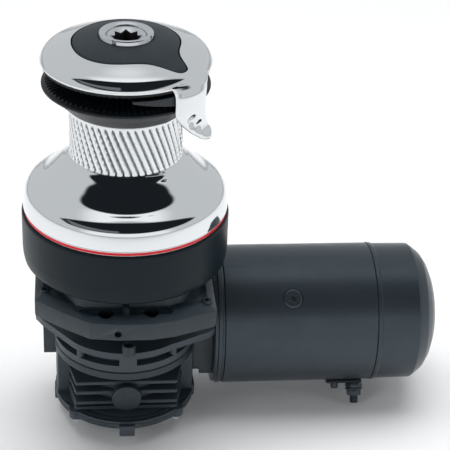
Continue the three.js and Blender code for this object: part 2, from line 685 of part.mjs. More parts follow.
// Teardrop plan outline of the cap's plastic insert.
function teardrop(grow) {
  const shape = new THREE.Shape();
  shape.absarc(0, -2.3, 42.3 + grow, -5 * DEG, 268 * DEG, false);
  shape.bezierCurveTo(12, -45.2 - grow, 24, -41.8 - grow, 33.5, -46.6 - grow);
  shape.bezierCurveTo(37.2, -48.6 - grow, 41.5, -49.8 - grow, 44.6 + grow, -47.2 - grow);
  shape.bezierCurveTo(47.2 + grow, -44.8, 46.2 + grow, -41, 44.4 + grow, -36.6);
  shape.bezierCurveTo(41.2 + grow, -27.6, 38.8 + grow, -19, 42.1 + grow, -6 - grow * 0.1);
  return shape;
}

// The dome's skin between two depths, inside the teardrop outline grown by a clearance.
function domeLayer(bottomDepth, topDepth, clearance) {
  const crown = DOME.slice(0, 6);
  const outer = crown.map(([r, z]) => [r, z - topDepth]);
  const inner = crown.map(([r, z]) => [r, z - bottomDepth]).reverse();
  const skin = turned([...outer, ...inner], 36);
  return skin.intersect(prism(teardrop(clearance), 300, 360, 6));
}

function capInsert() {
  const layer = domeLayer(2.4, 0.25, 0);
  place('cap_insert', layer.subtract(cylinder(22.2, 320, 350, 0, 0, 24)), blackPlastic());
}

function capRing() {
  let body = turned([
    [15.5, 336.8], [21.6, 336.8], [21.6, 341.2], [20.4, 342.5], [18.8, RING_TOP_Z], [15.5, 340.8],
  ], 24);
  around(4, 62, (angle) => {
    body = body.subtract(block([19.9, 24], [-1.6, 1.6], [339.4, 341]).rotate([0, 0, angle]));
  });
  place('cap_ring', body, satinSteel());
}

// ----------------------------------------------------------------------- motor
const POLE_SCREW = { x: 142.5, r: 8.4 };
const POLE_SIDES = [46.3, 226.3]; // degrees about X from straight up
const TERMINAL_X = [204.5, 187];

function motorFlange() {
  const body = turnedX([
    [17.3, FLANGE_X], [59.6, FLANGE_X], [59.6, 78.4], [60.7, 79.2], [60.7, 82], [59.8, 82.5],
    [59.8, TUBE_X - GAP], [54.6, TUBE_X - GAP], [54.6, 90], [17.3, 90],
  ], 32);
  place('motor_flange', body, blackPaint());
}

function motorTube() {
  let body = turnedX([
    [55, TUBE_X], [MOTOR_R, TUBE_X], [MOTOR_R, TUBE_END_X], [55, TUBE_END_X],
  ], 40);
  POLE_SIDES.forEach((side) => {
    body = body.subtract(onMotor(cylinder(POLE_SCREW.r + GAP, 58.4, 66, 0, 0, 16), side, POLE_SCREW.x));
    body = body.subtract(onMotor(cylinder(4.4, 40, 66, 0, 0, 10), side, POLE_SCREW.x));
  });
  body = body.subtract(onMotor(cylinder(4.4, 40, 66, 0, 0, 10), TERMINAL_ANGLE, TERMINAL_X[0]));
  place('motor_tube', body, blackPaint());
}

// Moves a body built on the +Z axis so that it stands out from the motor axis at x.
function onMotor(body, degreesFromUp, x) {
  return body.rotate([degreesFromUp, 0, 0]).translate([x, MOTOR_Y, MOTOR_Z]);
}

function poles() {
  POLE_SIDES.forEach((side, i) => {
    const head = turned([[0, 58.8], [POLE_SCREW.r, 58.8], [POLE_SCREW.r, 60.2], [7.4, 61], [0, 61]], 16);
    const cross = block([-5.4, 5.4], [-1.1, 1.1], [59.8, 62]).add(block([-1.1, 1.1], [-5.4, 5.4], [59.8, 62]));
    const shank = cylinder(4, 47.5, 59, 0, 0, 10);
    const screw = head.add(shank).subtract(cross.rotate([0, 0, 20]));
    place(`pole_screw_${i + 1}`, onMotor(screw, side, POLE_SCREW.x), satinSteel());

    const ring = turned([[41.4, 104], [54.7, 104], [54.7, 192], [41.4, 192]], 48);
    const shoe = alongMotor(ring.intersect(sector(80, 118, 242, 90, 200)));
    const turn = side - POLE_SIDES[0];
    const centred = shoe.translate([0, -MOTOR_Y, -MOTOR_Z]).rotate([POLE_SIDES[0] + turn, 0, 0]);
    const hole = onMotor(cylinder(4.4, 46.8, 60, 0, 0, 10), side, POLE_SCREW.x);
    place(`pole_shoe_${i + 1}`, centred.translate([0, MOTOR_Y, MOTOR_Z]).subtract(hole), gearSteel());
  });
}

function armature() {
  const slots = 6;
  const points = toothedPoints(slots, 34, 40.6, 0.72, 0.72, 0);
  const core = prism(outlineShape(points), 110, 188);
  const windings = turned([[8.5, 101], [32, 101], [32, 197], [8.5, 197]], 20);
  const shaft = turned([[0, 75], [9, 75], [9, 264.5], [0, 264.5]], 20);
  const bore = cylinder(6.3, 74, 89, 0, 0, 16);
  place('armature', alongMotor(core.add(windings).add(shaft).subtract(bore)), gearSteel());
}

function commutator() {
  const bars = 10;
  const points = toothedPoints(bars, 21, 22, 0.86, 0.86, 0);
  const body = prism(outlineShape(points), 202, 222).subtract(cylinder(9.3, 200, 224, 0, 0, 20));
  place('commutator', alongMotor(body), copper());
}

function brushGear() {
  const plate = turned([[26, 224.4], [54, 224.4], [54, 228], [26, 228]], 24);
  const boxes = [0, 180].map((turn) => {
    const walls = block([-7, 7], [24.5, 44], [203, 225]).subtract(block([-4.3, 4.3], [20, 41], [205.4, 218.6]));
    return walls.rotate([0, 0, turn]);
  });
  place('brush_holder', alongMotor(union([plate, ...boxes])), blackPlastic());
  [0, 180].forEach((turn, i) => {
    const brush = block([-4, 4], [22.3, 38], [205.7, 218.3]).rotate([0, 0, turn]);
    place(`brush_${i + 1}`, alongMotor(brush), carbon());
  });
}

function endCap() {
  const body = turnedX([
    [56.6, TUBE_END_X + GAP], [61.2, TUBE_END_X + GAP], [61.2, 219.4], [60.2, 220.4], [59.9, 252.6],
    [57.4, 256], [52.6, 262], [45.4, 266.8], [33.6, 271.6], [18, 274], [0, MOTOR_END_X],
    [0, 268], [17.3, 268], [17.3, 254], [22, 254], [34, 266.8], [54, 251],
  ], 32);
  place('end_cap', body, blackPaint());
}

function terminals() {
  const [mainX, sideX] = TERMINAL_X;
  const stand = (body, x) => onMotor(body, TERMINAL_ANGLE, x);
  const pad = block([-25, 6.5], [-6.5, 6.5], [61.1, 64]);
  const padHoles = cylinder(4.2, 60, 66, 0, 0, 20).add(cylinder(3.6, 60, 66, sideX - mainX, 0, 20));
  place('terminal_insulator', stand(pad.subtract(padHoles), mainX), blackPlastic());
  place('terminal_stud', stand(cylinder(3.8, 48, 82.4, 0, 0, 20), mainX), blackPaint());
  const ringOf = (shape, z0, z1) => prism(shape, z0, z1).subtract(cylinder(4.1, 60, 80, 0, 0, 20));
  place('terminal_nut_inner', stand(ringOf(regularShape(6, 7.5), 64.3, 68.6), mainX), blackPaint());
  place('terminal_washer', stand(ringOf(regularShape(24, 7.8), 68.9, 70.3), mainX), blackPaint());
  place('terminal_nut_outer', stand(ringOf(regularShape(6, 6.9, 30 * DEG), 70.6, 75.6), mainX), blackPaint());
  place('side_terminal', stand(cylinder(3.3, 61.4, 69, 0, 0, 16), sideX), blackPaint());
}

gearHousing();
housingPlug();
bottomCover();
coverScrews();
wormShaft();
wormWheel();
outputShaft();
bearings();
adapter();
adapterScrews();
base();
trimRing();
stem();
mainShaft();
gearTrain();
drum();
rollerBearings();
jaws();
peeler();
topCap();
capInsert();
capRing();
motorFlange();
motorTube();
poles();
armature();
commutator();
brushGear();
endCap();
terminals();

export default group;
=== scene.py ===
"""Looks of the electric self-tailing sailboat winch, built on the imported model's frame.

Shapes are written in millimetres and stored in metres. +Z is up along the winch axis,
+X runs along the motor and -Y is the front.
"""
import math

import bmesh
import bpy
from mathutils import Matrix, Vector


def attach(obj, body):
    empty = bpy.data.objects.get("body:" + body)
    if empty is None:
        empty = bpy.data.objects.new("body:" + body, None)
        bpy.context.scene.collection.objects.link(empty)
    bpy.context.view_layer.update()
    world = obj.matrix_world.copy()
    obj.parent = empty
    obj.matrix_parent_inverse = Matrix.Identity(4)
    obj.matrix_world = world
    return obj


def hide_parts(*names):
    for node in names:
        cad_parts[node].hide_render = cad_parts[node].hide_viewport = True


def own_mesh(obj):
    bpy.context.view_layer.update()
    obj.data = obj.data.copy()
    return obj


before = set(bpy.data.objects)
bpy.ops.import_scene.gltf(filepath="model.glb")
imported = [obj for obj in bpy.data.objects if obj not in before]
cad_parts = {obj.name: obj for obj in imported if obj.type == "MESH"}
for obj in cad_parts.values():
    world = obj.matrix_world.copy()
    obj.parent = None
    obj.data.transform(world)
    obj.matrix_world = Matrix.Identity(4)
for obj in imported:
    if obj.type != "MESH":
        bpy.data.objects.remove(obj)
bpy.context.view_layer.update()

MM = 0.001
TAU = 2 * math.pi

# The motor axis runs along X at this place.
MOTOR_Y, MOTOR_Z = 30.0, 61.5


# ------------------------------------------------------------------ mesh helpers
WELD = 2e-6                 # metres within which two vertices become one
SLIGHT_TURN = 0.06          # radians, a corner gentler than this is left as it is


def link(verts, faces):
    """New object from vertices in millimetres, with its normals made to face outward."""
    mesh = bpy.data.meshes.new("shape")
    mesh.from_pydata([(x * MM, y * MM, z * MM) for x, y, z in verts], [], faces)
    obj = bpy.data.objects.new("shape", mesh)
    bpy.context.scene.collection.objects.link(obj)
    bm = bmesh.new()
    bm.from_mesh(mesh)
    bmesh.ops.remove_doubles(bm, verts=bm.verts, dist=WELD)
    bmesh.ops.recalc_face_normals(bm, faces=bm.faces)
    bm.to_mesh(mesh)
    bm.free()
    return obj


def rounded(points, radius, steps=4):
    """Closed outline with each corner turned into a short curve. Points on the axis stay sharp.

    radius is one size for all corners or a list with one for each.
    """
    out = []
    count = len(points)
    for i, point in enumerate(points):
        size = radius[i] if isinstance(radius, (list, tuple)) else radius
        corner = Vector(point)
        back = Vector(points[i - 1]) - corner
        ahead = Vector(points[(i + 1) % count]) - corner
        turn = math.pi - back.angle(ahead)
        if size <= 0 or turn < SLIGHT_TURN or abs(corner.x) < 1e-6:
            out.append((corner.x, corner.y))
            continue
        trim = min(size * math.tan(turn / 2), 0.45 * back.length, 0.45 * ahead.length)
        start = corner + back.normalized() * trim
        end = corner + ahead.normalized() * trim
        for k in range(steps + 1):
            t = k / steps
            at = start * (1 - t) ** 2 + corner * (2 * t * (1 - t)) + end * t ** 2
            out.append((at.x, at.y))
    return out


def smooth_line(points, per_span=6):
    """Open Catmull-Rom line through the points."""
    ends = [points[0], *points, points[-1]]
    out = []
    for i in range(len(points) - 1):
        p0, p1, p2, p3 = (Vector(p) for p in ends[i:i + 4])
        for k in range(per_span):
            t = k / per_span
            at = 0.5 * (2 * p1 + (p2 - p0) * t + (2 * p0 - 5 * p1 + 4 * p2 - p3) * t ** 2
                        + (3 * p1 - p0 - 3 * p2 + p3) * t ** 3)
            out.append((at.x, at.y))
    out.append(tuple(points[-1]))
    return out


def polar(section, segments):
    """Closed solid round the Z axis. section(angle) gives the closed (radius, z) outline there."""
    verts, faces = [], []
    count = len(section(0.0))
    for i in range(segments):
        angle = TAU * i / segments
        verts += [(r * math.cos(angle), r * math.sin(angle), z) for r, z in section(angle)]
    for i in range(segments):
        here, there = i * count, (i + 1) % segments * count
        for k in range(count):
            nxt = (k + 1) % count
            faces.append((here + k, there + k, there + nxt, here + nxt))
    return link(verts, faces)


def lathe(outline, radius=0.4, segments=128):
    """Turned solid from a closed (radius, z) outline, with its corners rounded by radius."""
    section = rounded(outline, radius)
    return polar(lambda angle: section, segments)


def loft(loops):
    """Skin over a row of closed loops of (x, y, z), with a cap at each end."""
    count = len(loops[0])
    verts = [v for loop in loops for v in loop]
    faces = [tuple(range(count)), tuple((len(loops) - 1) * count + k for k in range(count))]
    for i in range(len(loops) - 1):
        for k in range(count):
            a, b = i * count + k, i * count + (k + 1) % count
            faces.append((a, b, b + count, a + count))
    return link(verts, faces)


def layered(outline, levels, axis="Z", corner=0.0):
    """Solid through copies of an outline, each copy given as (scale, level) along the axis.

    The outline is (x, y) for axis Z and (y, z) for axis X. corner rounds its corners.
    """
    points = rounded(outline, corner, 5) if corner else list(outline)
    loops = []
    for scale, level in levels:
        flat = [(u * scale, v * scale) for u, v in points]
        loops.append([(u, v, level) if axis == "Z" else (level, u, v) for u, v in flat])
    return loft(loops)


def slab(outline, low, high, axis="Z", corner=0.0):
    """Plate from an outline, between two levels along the axis."""
    return layered(outline, [(1.0, low), (1.0, high)], axis, corner)


def box(x, y, z, corner=0.0):
    """Block, with its edges along Z rounded by corner."""
    return slab([(x[0], y[0]), (x[1], y[0]), (x[1], y[1]), (x[0], y[1])], z[0], z[1], "Z", corner)


def moved(obj, matrix):
    """Moves the mesh itself and leaves the object at the origin."""
    obj.data.transform(matrix)
    return obj


def shifted(obj, x=0.0, y=0.0, z=0.0):
    return moved(obj, Matrix.Translation((x * MM, y * MM, z * MM)))


def turned_by(obj, degrees, axis="Z"):
    return moved(obj, Matrix.Rotation(math.radians(degrees), 4, axis))


def cylinder(radius, low, high, x=0.0, y=0.0, segments=48, chamfer=0.0):
    """Upright cylinder at (x, y)."""
    outline = [(0, low), (radius, low), (radius, high), (0, high)]
    return shifted(lathe(outline, chamfer, segments), x, y)


def along_motor(obj):
    """Turns a piece built about Z so that it lies about the motor axis, with its z as x."""
    turned = moved(obj, Matrix.Rotation(math.radians(90), 4, "Y"))
    return shifted(turned, 0, MOTOR_Y, MOTOR_Z)


def on_motor(obj, degrees, x):
    """Stands a piece built up +Z out from the motor axis, turned about X from straight up."""
    return shifted(turned_by(obj, degrees, "X"), x, MOTOR_Y, MOTOR_Z)


def cylinder_y(radius, front, back, x, z, segments=48, chamfer=0.0):
    """Cylinder along Y, from y = front to y = back."""
    lying = turned_by(cylinder(radius, -back, -front, 0, 0, segments, chamfer), 90, "X")
    return shifted(lying, x, 0, z)


def around(radius, degrees):
    """Point (x, y) at a radius and an angle round the winch axis."""
    angle = math.radians(degrees)
    return radius * math.cos(angle), radius * math.sin(angle)


def bake_modifiers(obj):
    graph = bpy.context.evaluated_depsgraph_get()
    mesh = bpy.data.meshes.new_from_object(obj.evaluated_get(graph))
    obj.modifiers.clear()
    obj.data = mesh
    return obj


def combine(target, tools, operation):
    """Boolean of target with each tool, which is used up."""
    for tool in tools:
        modifier = target.modifiers.new(tool.name, "BOOLEAN")
        modifier.operation = operation
        modifier.object = tool
        modifier.solver = "EXACT"
    bake_modifiers(target)
    for tool in tools:
        bpy.data.objects.remove(tool)
    return target


def add(target, *tools):
    return combine(target, tools, "UNION")


def cut(target, *tools):
    return combine(target, tools, "DIFFERENCE")


def soften(obj, width, segments=2, angle=38):
    """Rounds the edges sharper than angle by width millimetres."""
    modifier = obj.modifiers.new("soft_edges", "BEVEL")
    modifier.width = width * MM
    modifier.segments = segments
    modifier.limit_method = "ANGLE"
    modifier.angle_limit = math.radians(angle)
    modifier.use_clamp_overlap = True
    return bake_modifiers(obj)


# --------------------------------------------------------------------- materials
def new_node(tree, kind, inputs=None, **settings):
    """Adds a shader node. Each of its inputs gets a value, or a link from another node's output."""
    node = tree.nodes.new("ShaderNode" + kind)
    for name, value in settings.items():
        setattr(node, name, value)
    for name, value in (inputs or {}).items():
        if isinstance(value, bpy.types.NodeSocket):
            tree.links.new(value, node.inputs[name])
        else:
            node.inputs[name].default_value = value
    return node


def mixed(tree, under, over, share):
    """Colour socket that goes from under to over by share."""
    colors = {"Factor": share}
    for name, color in (("A", under), ("B", over)):
        colors[name] = (*color, 1) if isinstance(color, tuple) else color
    return new_node(tree, "Mix", colors, data_type="RGBA").outputs["Result"]


def surface(name, color, metallic, rough, spread, tint, grain, bump=0.0, stretch=(1, 1, 1),
            edge_highlight=None, edge_highlight_share=0.5, patch=60.0, specular=0.5):
    """Material whose tone, roughness and fine relief all vary with noise in object space.

    color and tint are the two tones; sharp edges get a painted highlight in the edge_highlight tone,
    with edge_highlight_share its strength.
    grain and patch are the fine and the broad noise scale per metre, stretch the stretch of the
    grain along each axis, and bump the height of the relief in metres.
    """
    material = bpy.data.materials.new(name)
    material.use_nodes = True
    tree = material.node_tree
    shader = tree.nodes["Principled BSDF"]
    shader.inputs["Metallic"].default_value = metallic
    shader.inputs["Specular IOR Level"].default_value = specular

    place = new_node(tree, "TexCoord").outputs["Object"]
    stretched = new_node(tree, "Mapping", {"Vector": place, "Scale": stretch}).outputs["Vector"]
    fine = new_node(tree, "TexNoise", {"Vector": stretched, "Scale": grain, "Detail": 5,
                                       "Roughness": 0.62}).outputs["Fac"]
    broad = new_node(tree, "TexNoise", {"Vector": place, "Scale": patch, "Detail": 4}).outputs["Fac"]
    broad_share = new_node(tree, "Math", {0: broad, 1: 0.45}, operation="MULTIPLY").outputs[0]
    blend = new_node(tree, "Math", {0: fine, 1: 0.55, 2: broad_share},
                     operation="MULTIPLY_ADD").outputs[0]

    gloss = new_node(tree, "MapRange", {"Value": blend, "From Min": 0.3, "From Max": 0.7,
                                        "To Min": max(0.01, rough - spread),
                                        "To Max": rough + spread})
    tree.links.new(gloss.outputs["Result"], shader.inputs["Roughness"])

    shade = mixed(tree, color, tint, blend)
    # Sharp edges, found by pointiness, are lightened: a painted highlight where the bevels catch light.
    if edge_highlight:
        edge = new_node(tree, "NewGeometry").outputs["Pointiness"]
        highlight_band = new_node(tree, "MapRange", {"Value": edge, "From Min": 0.52, "From Max": 0.62,
                                           "To Max": edge_highlight_share})
        shade = mixed(tree, shade, edge_highlight, highlight_band.outputs["Result"])
    tree.links.new(shade, shader.inputs["Base Color"])

    if bump:
        relief = new_node(tree, "Bump", {"Height": fine, "Strength": 1.0, "Distance": bump})
        tree.links.new(relief.outputs["Normal"], shader.inputs["Normal"])
    return material


MATERIALS = {
    "chrome": surface("chrome", (0.80, 0.815, 0.825), 1.0, 0.05, 0.015, (0.77, 0.785, 0.795), 700,
                      2.5e-7, (1, 1, 2.5)),
    "satin_steel": surface("satin_steel", (0.66, 0.68, 0.70), 1.0, 0.24, 0.03, (0.62, 0.64, 0.66),
                           2600, 1.2e-6, (1, 1, 0.25)),
    # Dark steel painted on the inside of the drive socket as its shade.
    "socket_painted_shade": surface("socket_painted_shade", (0.03, 0.033, 0.037), 0.6, 0.4, 0.08, (0.02, 0.022, 0.025),
                            1500, 4e-6),
    # Darker steel painted into the sunk flutes of the drum as their shade.
    "flute_painted_shade": surface("flute_painted_shade", (0.20, 0.215, 0.225), 1.0, 0.12, 0.04, (0.12, 0.13, 0.14),
                           900, 1e-6),
    "gear_steel": surface("gear_steel", (0.42, 0.43, 0.45), 1.0, 0.34, 0.08, (0.33, 0.34, 0.36),
                          1200, 4e-6),
    "bronze": surface("bronze", (0.50, 0.33, 0.13), 1.0, 0.3, 0.1, (0.38, 0.25, 0.11), 1300, 4e-6),
    "copper": surface("copper", (0.62, 0.27, 0.13), 1.0, 0.28, 0.1, (0.48, 0.2, 0.1), 1300, 3e-6),
    # The lighter edge tone of the black casting and the base is a painted highlight on their sharp
    # edges.
    "black_casting": surface("black_casting", (0.018, 0.032, 0.043), 0.0, 0.46, 0.08,
                             (0.008, 0.0155, 0.021), 700, 3.0e-4, edge_highlight=(0.075, 0.095, 0.115),
                             edge_highlight_share=0.3, patch=38),
    "black_base": surface("black_base", (0.0036, 0.0105, 0.0160), 0.0, 0.40, 0.05,
                          (0.0026, 0.0076, 0.0115), 1700, 5e-6, edge_highlight=(0.035, 0.045, 0.052),
                          edge_highlight_share=0.4, specular=0.2),
    "motor_steel": surface("motor_steel", (0.055, 0.070, 0.084), 0.6, 0.34, 0.06,
                           (0.034, 0.045, 0.055), 520, 1.4e-5, (0.07, 1, 1), specular=0.45),
    "black_anodised": surface("black_anodised", (0.012, 0.013, 0.015), 0.6, 0.3, 0.06,
                              (0.008, 0.009, 0.01), 1500, 3e-6),
    "black_plastic": surface("black_plastic", (0.0035, 0.0060, 0.0082), 0.0, 0.38, 0.06,
                             (0.002, 0.004, 0.0055), 1900, 7e-6, specular=0.3),
    "insert_plastic": surface("insert_plastic", (0.013, 0.0195, 0.0255), 0.0, 0.48, 0.06,
                              (0.010, 0.015, 0.020), 2600, 9e-6, specular=0.35),
    "grey_plastic": surface("grey_plastic", (0.022, 0.028, 0.034), 0.0, 0.42, 0.07,
                            (0.017, 0.021, 0.026), 1900, 9e-6, specular=0.4),
    "red_trim": surface("red_trim", (0.78, 0.012, 0.022), 0.0, 0.32, 0.05, (0.68, 0.009, 0.017),
                        1600, 3e-6, specular=0.3),
    "carbon": surface("carbon", (0.02, 0.02, 0.021), 0.1, 0.6, 0.1, (0.012, 0.012, 0.013), 1500, 1e-5),
}


def piece(obj, name, body, slot, node, smooth=30, material=None):
    """Names a finished shape that replaces a CAD node, dresses it and lets it ride on its body."""
    obj.name = name
    obj.data.name = name
    obj.data.materials.clear()
    obj.data.materials.append(MATERIALS[material or slot])
    obj.data.shade_smooth()
    obj.data.set_sharp_from_angle(angle=math.radians(smooth))
    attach(obj, body)
    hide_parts(node)
    return obj


def second_material(obj, material, where):
    """Gives another material to the faces whose every corner passes where(x, y, z)."""
    obj.data.materials.append(MATERIALS[material])
    for face in obj.data.polygons:
        if all(where(*(obj.data.vertices[i].co / MM)) for i in face.vertices):
            face.material_index = len(obj.data.materials) - 1


# ------------------------------------------------------------------------ camera
CAMERA_PLACE = (-0.0411, -1.0801, 0.7883)
CAMERA_YAW, CAMERA_PITCH, CAMERA_ROLL = 6.55, 29.68, 2.46
CAMERA_LENS, CAMERA_SENSOR = 120, 36


def make_camera():
    yaw, pitch, roll = (math.radians(a) for a in (CAMERA_YAW, CAMERA_PITCH, CAMERA_ROLL))
    forward = Vector((math.sin(yaw) * math.cos(pitch), math.cos(yaw) * math.cos(pitch),
                      -math.sin(pitch)))
    level = Vector((math.cos(yaw), -math.sin(yaw), 0))
    upright = level.cross(forward)
    right = math.cos(roll) * level + math.sin(roll) * upright
    up = -math.sin(roll) * level + math.cos(roll) * upright
    data = bpy.data.cameras.new("camera")
    data.lens = CAMERA_LENS
    data.sensor_width = CAMERA_SENSOR
    data.clip_start, data.clip_end = 0.05, 60
    camera = bpy.data.objects.new("camera", data)
    rotation = Matrix((right, up, -forward)).transposed()
    camera.matrix_world = Matrix.Translation(CAMERA_PLACE) @ rotation.to_4x4()
    bpy.context.scene.collection.objects.link(camera)
    bpy.context.scene.camera = camera


# ----------------------------------------------------------------------- gearbox
CASE_R = 60.2               # the case and its bottom cover
CASE_LOW, CASE_TOP = 10.2, 82
COVER_TOP = 9.9
PLATE_LOW, PLATE_TOP = 77, 83
EAR_ANGLES = (42, 138, 222, 318)
EAR_AT, EAR_R = 57, 6.4
BOSS_X, BOSS_Y = 1, -60.5   # hollow boss on the front of the plate
PLUG_Z = 28.2
FIN_FRONT = -42             # flat front of the fins
FIN_ROOT = -14              # the fins end here, in the sides of the case
FIN_BLOCK = [(-43, FIN_FRONT), (43, FIN_FRONT), (49, FIN_ROOT), (-49, FIN_ROOT)]
FINS = [(12.6, 15.6), (18.0, 21.3), (28.3, 31.8), (38.0, 41.4)]
CHAMBER_R = 39.5            # round wall seen between the fins
CHAMBER_LOW, CHAMBER_TOP = 14, 56
WINDOW_LOW, WINDOW_TOP = 69.8, PLATE_LOW
WINDOW_SPANS = ((-166, -96.4), (-82.6, -22))


def plate_outline():
    """Top plate of the gearbox: square round the motor and round at the front."""
    arc = [around(61.2, 225 + 81 * k / 22) for k in range(23)]
    return [(-70, 58), (-75, 52), (-76, 3), (-70, -8), *arc, (70, -31.5), (75, -26), (75, 52), (70, 58)]


def ring_sector(inner, outer, low, high, start, end):
    """Part of a ring between two angles in degrees."""
    steps = max(8, int((end - start) / 3))
    rim = [around(outer, start + (end - start) * k / steps) for k in range(steps + 1)]
    hole = [around(inner, end - (end - start) * k / steps) for k in range(steps + 1)]
    return slab(rim + hole, low, high)


def fin_core():
    """Round chamber wall that shows between the cooling fins, with the flat faces behind it."""
    core = cylinder(CHAMBER_R, CHAMBER_LOW, CHAMBER_TOP, 0, 0, 96)
    return add(core, box((-50, 50), (-12, 20), (CHAMBER_LOW, CHAMBER_TOP)))


def gear_housing():
    neck = CASE_R - 0.8
    body = lathe([(0, CASE_LOW), (CASE_R, CASE_LOW), (CASE_R, 15), (neck, 15.6), (neck, 55.2),
                  (CASE_R, 55.8), (CASE_R, 62), (CASE_R - 1.1, 62.6), (CASE_R - 1.1, 63.2),
                  (CASE_R, 63.8), (CASE_R, CASE_TOP), (0, CASE_TOP)], 0.3, 160)
    ears = [cylinder(EAR_R, CASE_LOW, 15.4, *around(EAR_AT, a), 32, 0.5) for a in EAR_ANGLES]
    add(body,
        slab(plate_outline(), PLATE_LOW, PLATE_TOP),
        slab([(6, 37.5), (54, 37.5), (54, 78), (6, 78)], -70, -40, "X", 6),
        slab([(-6.4, 25.1), (66.4, 25.1), (66.4, 78), (-6.4, 78)], 40, 66, "X", 6),
        slab([(-6.4, 20), (66.4, 20), (66.4, 103), (-6.4, 103)], 65, 75.6, "X", 7),
        cylinder(5.6, CASE_TOP, 92, BOSS_X, BOSS_Y, 40, 0.8),
        *ears)

    # Everything in front of the chamber goes, and the fins come back as plates.
    cut(body,
        box((-75, 75), (-75, FIN_ROOT), (12.2, 55.7)),
        ring_sector(50.5, 54.5, 10.4, 13, -146, -34),
        ring_sector(56.6, 58.4, 10.8, 13, -150, -30))
    fins = [layered(FIN_BLOCK, [(0.988, low), (1.0, low + 0.6), (1.0, high - 0.6), (0.988, high)],
                    corner=1.2) for low, high in FINS]
    add(body, fin_core(), *fins, cylinder_y(11.4, FIN_FRONT, -33.5, 0, PLUG_Z, 64, 0.5))

    cut(body, *[ring_sector(53, 66, WINDOW_LOW, WINDOW_TOP, *span) for span in WINDOW_SPANS])
    add(body, *[cylinder(3.7, 69, 77.6, *around(56.6, a), 32) for a in (-132, -47.4)])
    cut(body,
        cylinder(3.4, 84, 93, BOSS_X, BOSS_Y, 32),
        cylinder(33, 9, 74, 0, 0, 64),
        cylinder(15.3, 73, 93, 0, 0, 48),
        along_motor(cylinder(12, -66, 80)),
        along_motor(cylinder(14.3, -66, -53.7)),
        along_motor(cylinder(14.3, 51.7, 80)),
        cylinder_y(8.4, -45, -20, 0, PLUG_Z))
    soften(body, 0.5)
    piece(body, "gearbox_casting", "fixed_frame", "black_casting", "gear_housing")


def gearbox_fittings():
    plug = add(cylinder_y(12.4, -49.2, -42.3, 0, PLUG_Z, 96, 1.1), cylinder_y(8, -43, -36, 0, PLUG_Z))
    piece(plug, "oil_plug", "fixed_frame", "black_casting", "housing_plug")

    cover = lathe([(0, 0), (22, 0), (22, 4.5), (59, 4.5), (CASE_R, 5.7), (CASE_R, COVER_TOP),
                   (19, COVER_TOP), (19, 18), (15.3, 18), (15.3, CASE_LOW), (0, CASE_LOW)], 0.6, 128)
    lugs = [turned_by(box((50, reach), (-6.5, 6.5), (0, COVER_TOP), 1.5), a)
            for a, reach in ((0, 61), (90, 63.4), (180, 61), (270, 63.4))]
    ears = [cylinder(EAR_R, 4.5, COVER_TOP, *around(EAR_AT, a), 40) for a in EAR_ANGLES]
    add(cover, *lugs, *ears)
    cut(cover, *[cylinder(2.6, 3, 11, *around(EAR_AT, a), 24) for a in EAR_ANGLES])
    soften(cover, 0.5)
    piece(cover, "gearbox_cover", "fixed_frame", "black_casting", "bottom_cover")

    for i, angle in enumerate(EAR_ANGLES, 1):
        head = slab([around(4.4, 60 * k) for k in range(6)], 0.6, 4.2)
        screw = shifted(soften(head, 0.3), *around(EAR_AT, angle))
        add(screw, cylinder(2.1, 3, 14.5, *around(EAR_AT, angle), 20))
        piece(screw, f"cover_bolt_{i}", "fixed_frame", "satin_steel", f"cover_screw_{i}")


# ----------------------------------------------------------------------- adapter
ADAPTER_FRONT = [(-75, -49), (-54, -68), (-31, -85.5), (-8, -88.5), (18, -88.5), (37, -84.5),
                 (58, -76), (71.5, -70.5)]
ADAPTER_OUTLINE = ADAPTER_FRONT + [(x, -y) for x, y in reversed(ADAPTER_FRONT)]
ADAPTER_LEVELS = [(0.99, 114.2), (0.997, 114.6), (1, 115.3), (1, 128.8), (0.996, 129.6),
                  (0.91, 133.9), (0.90, 134.2)]
ADAPTER_SCREWS = [(-66.5, -41), (63.5, -62.5), (63.5, 62.5), (-66.5, 41)]
SEAT_FRONT = [(-58, -36), (-42, -66), (-36, -69), (34, -69), (44, -64), (58, -36)]
SEAT_TOP = 144.3
BLIND_X, BLIND_Y, BLIND_R = 18, 76.5, 6.4


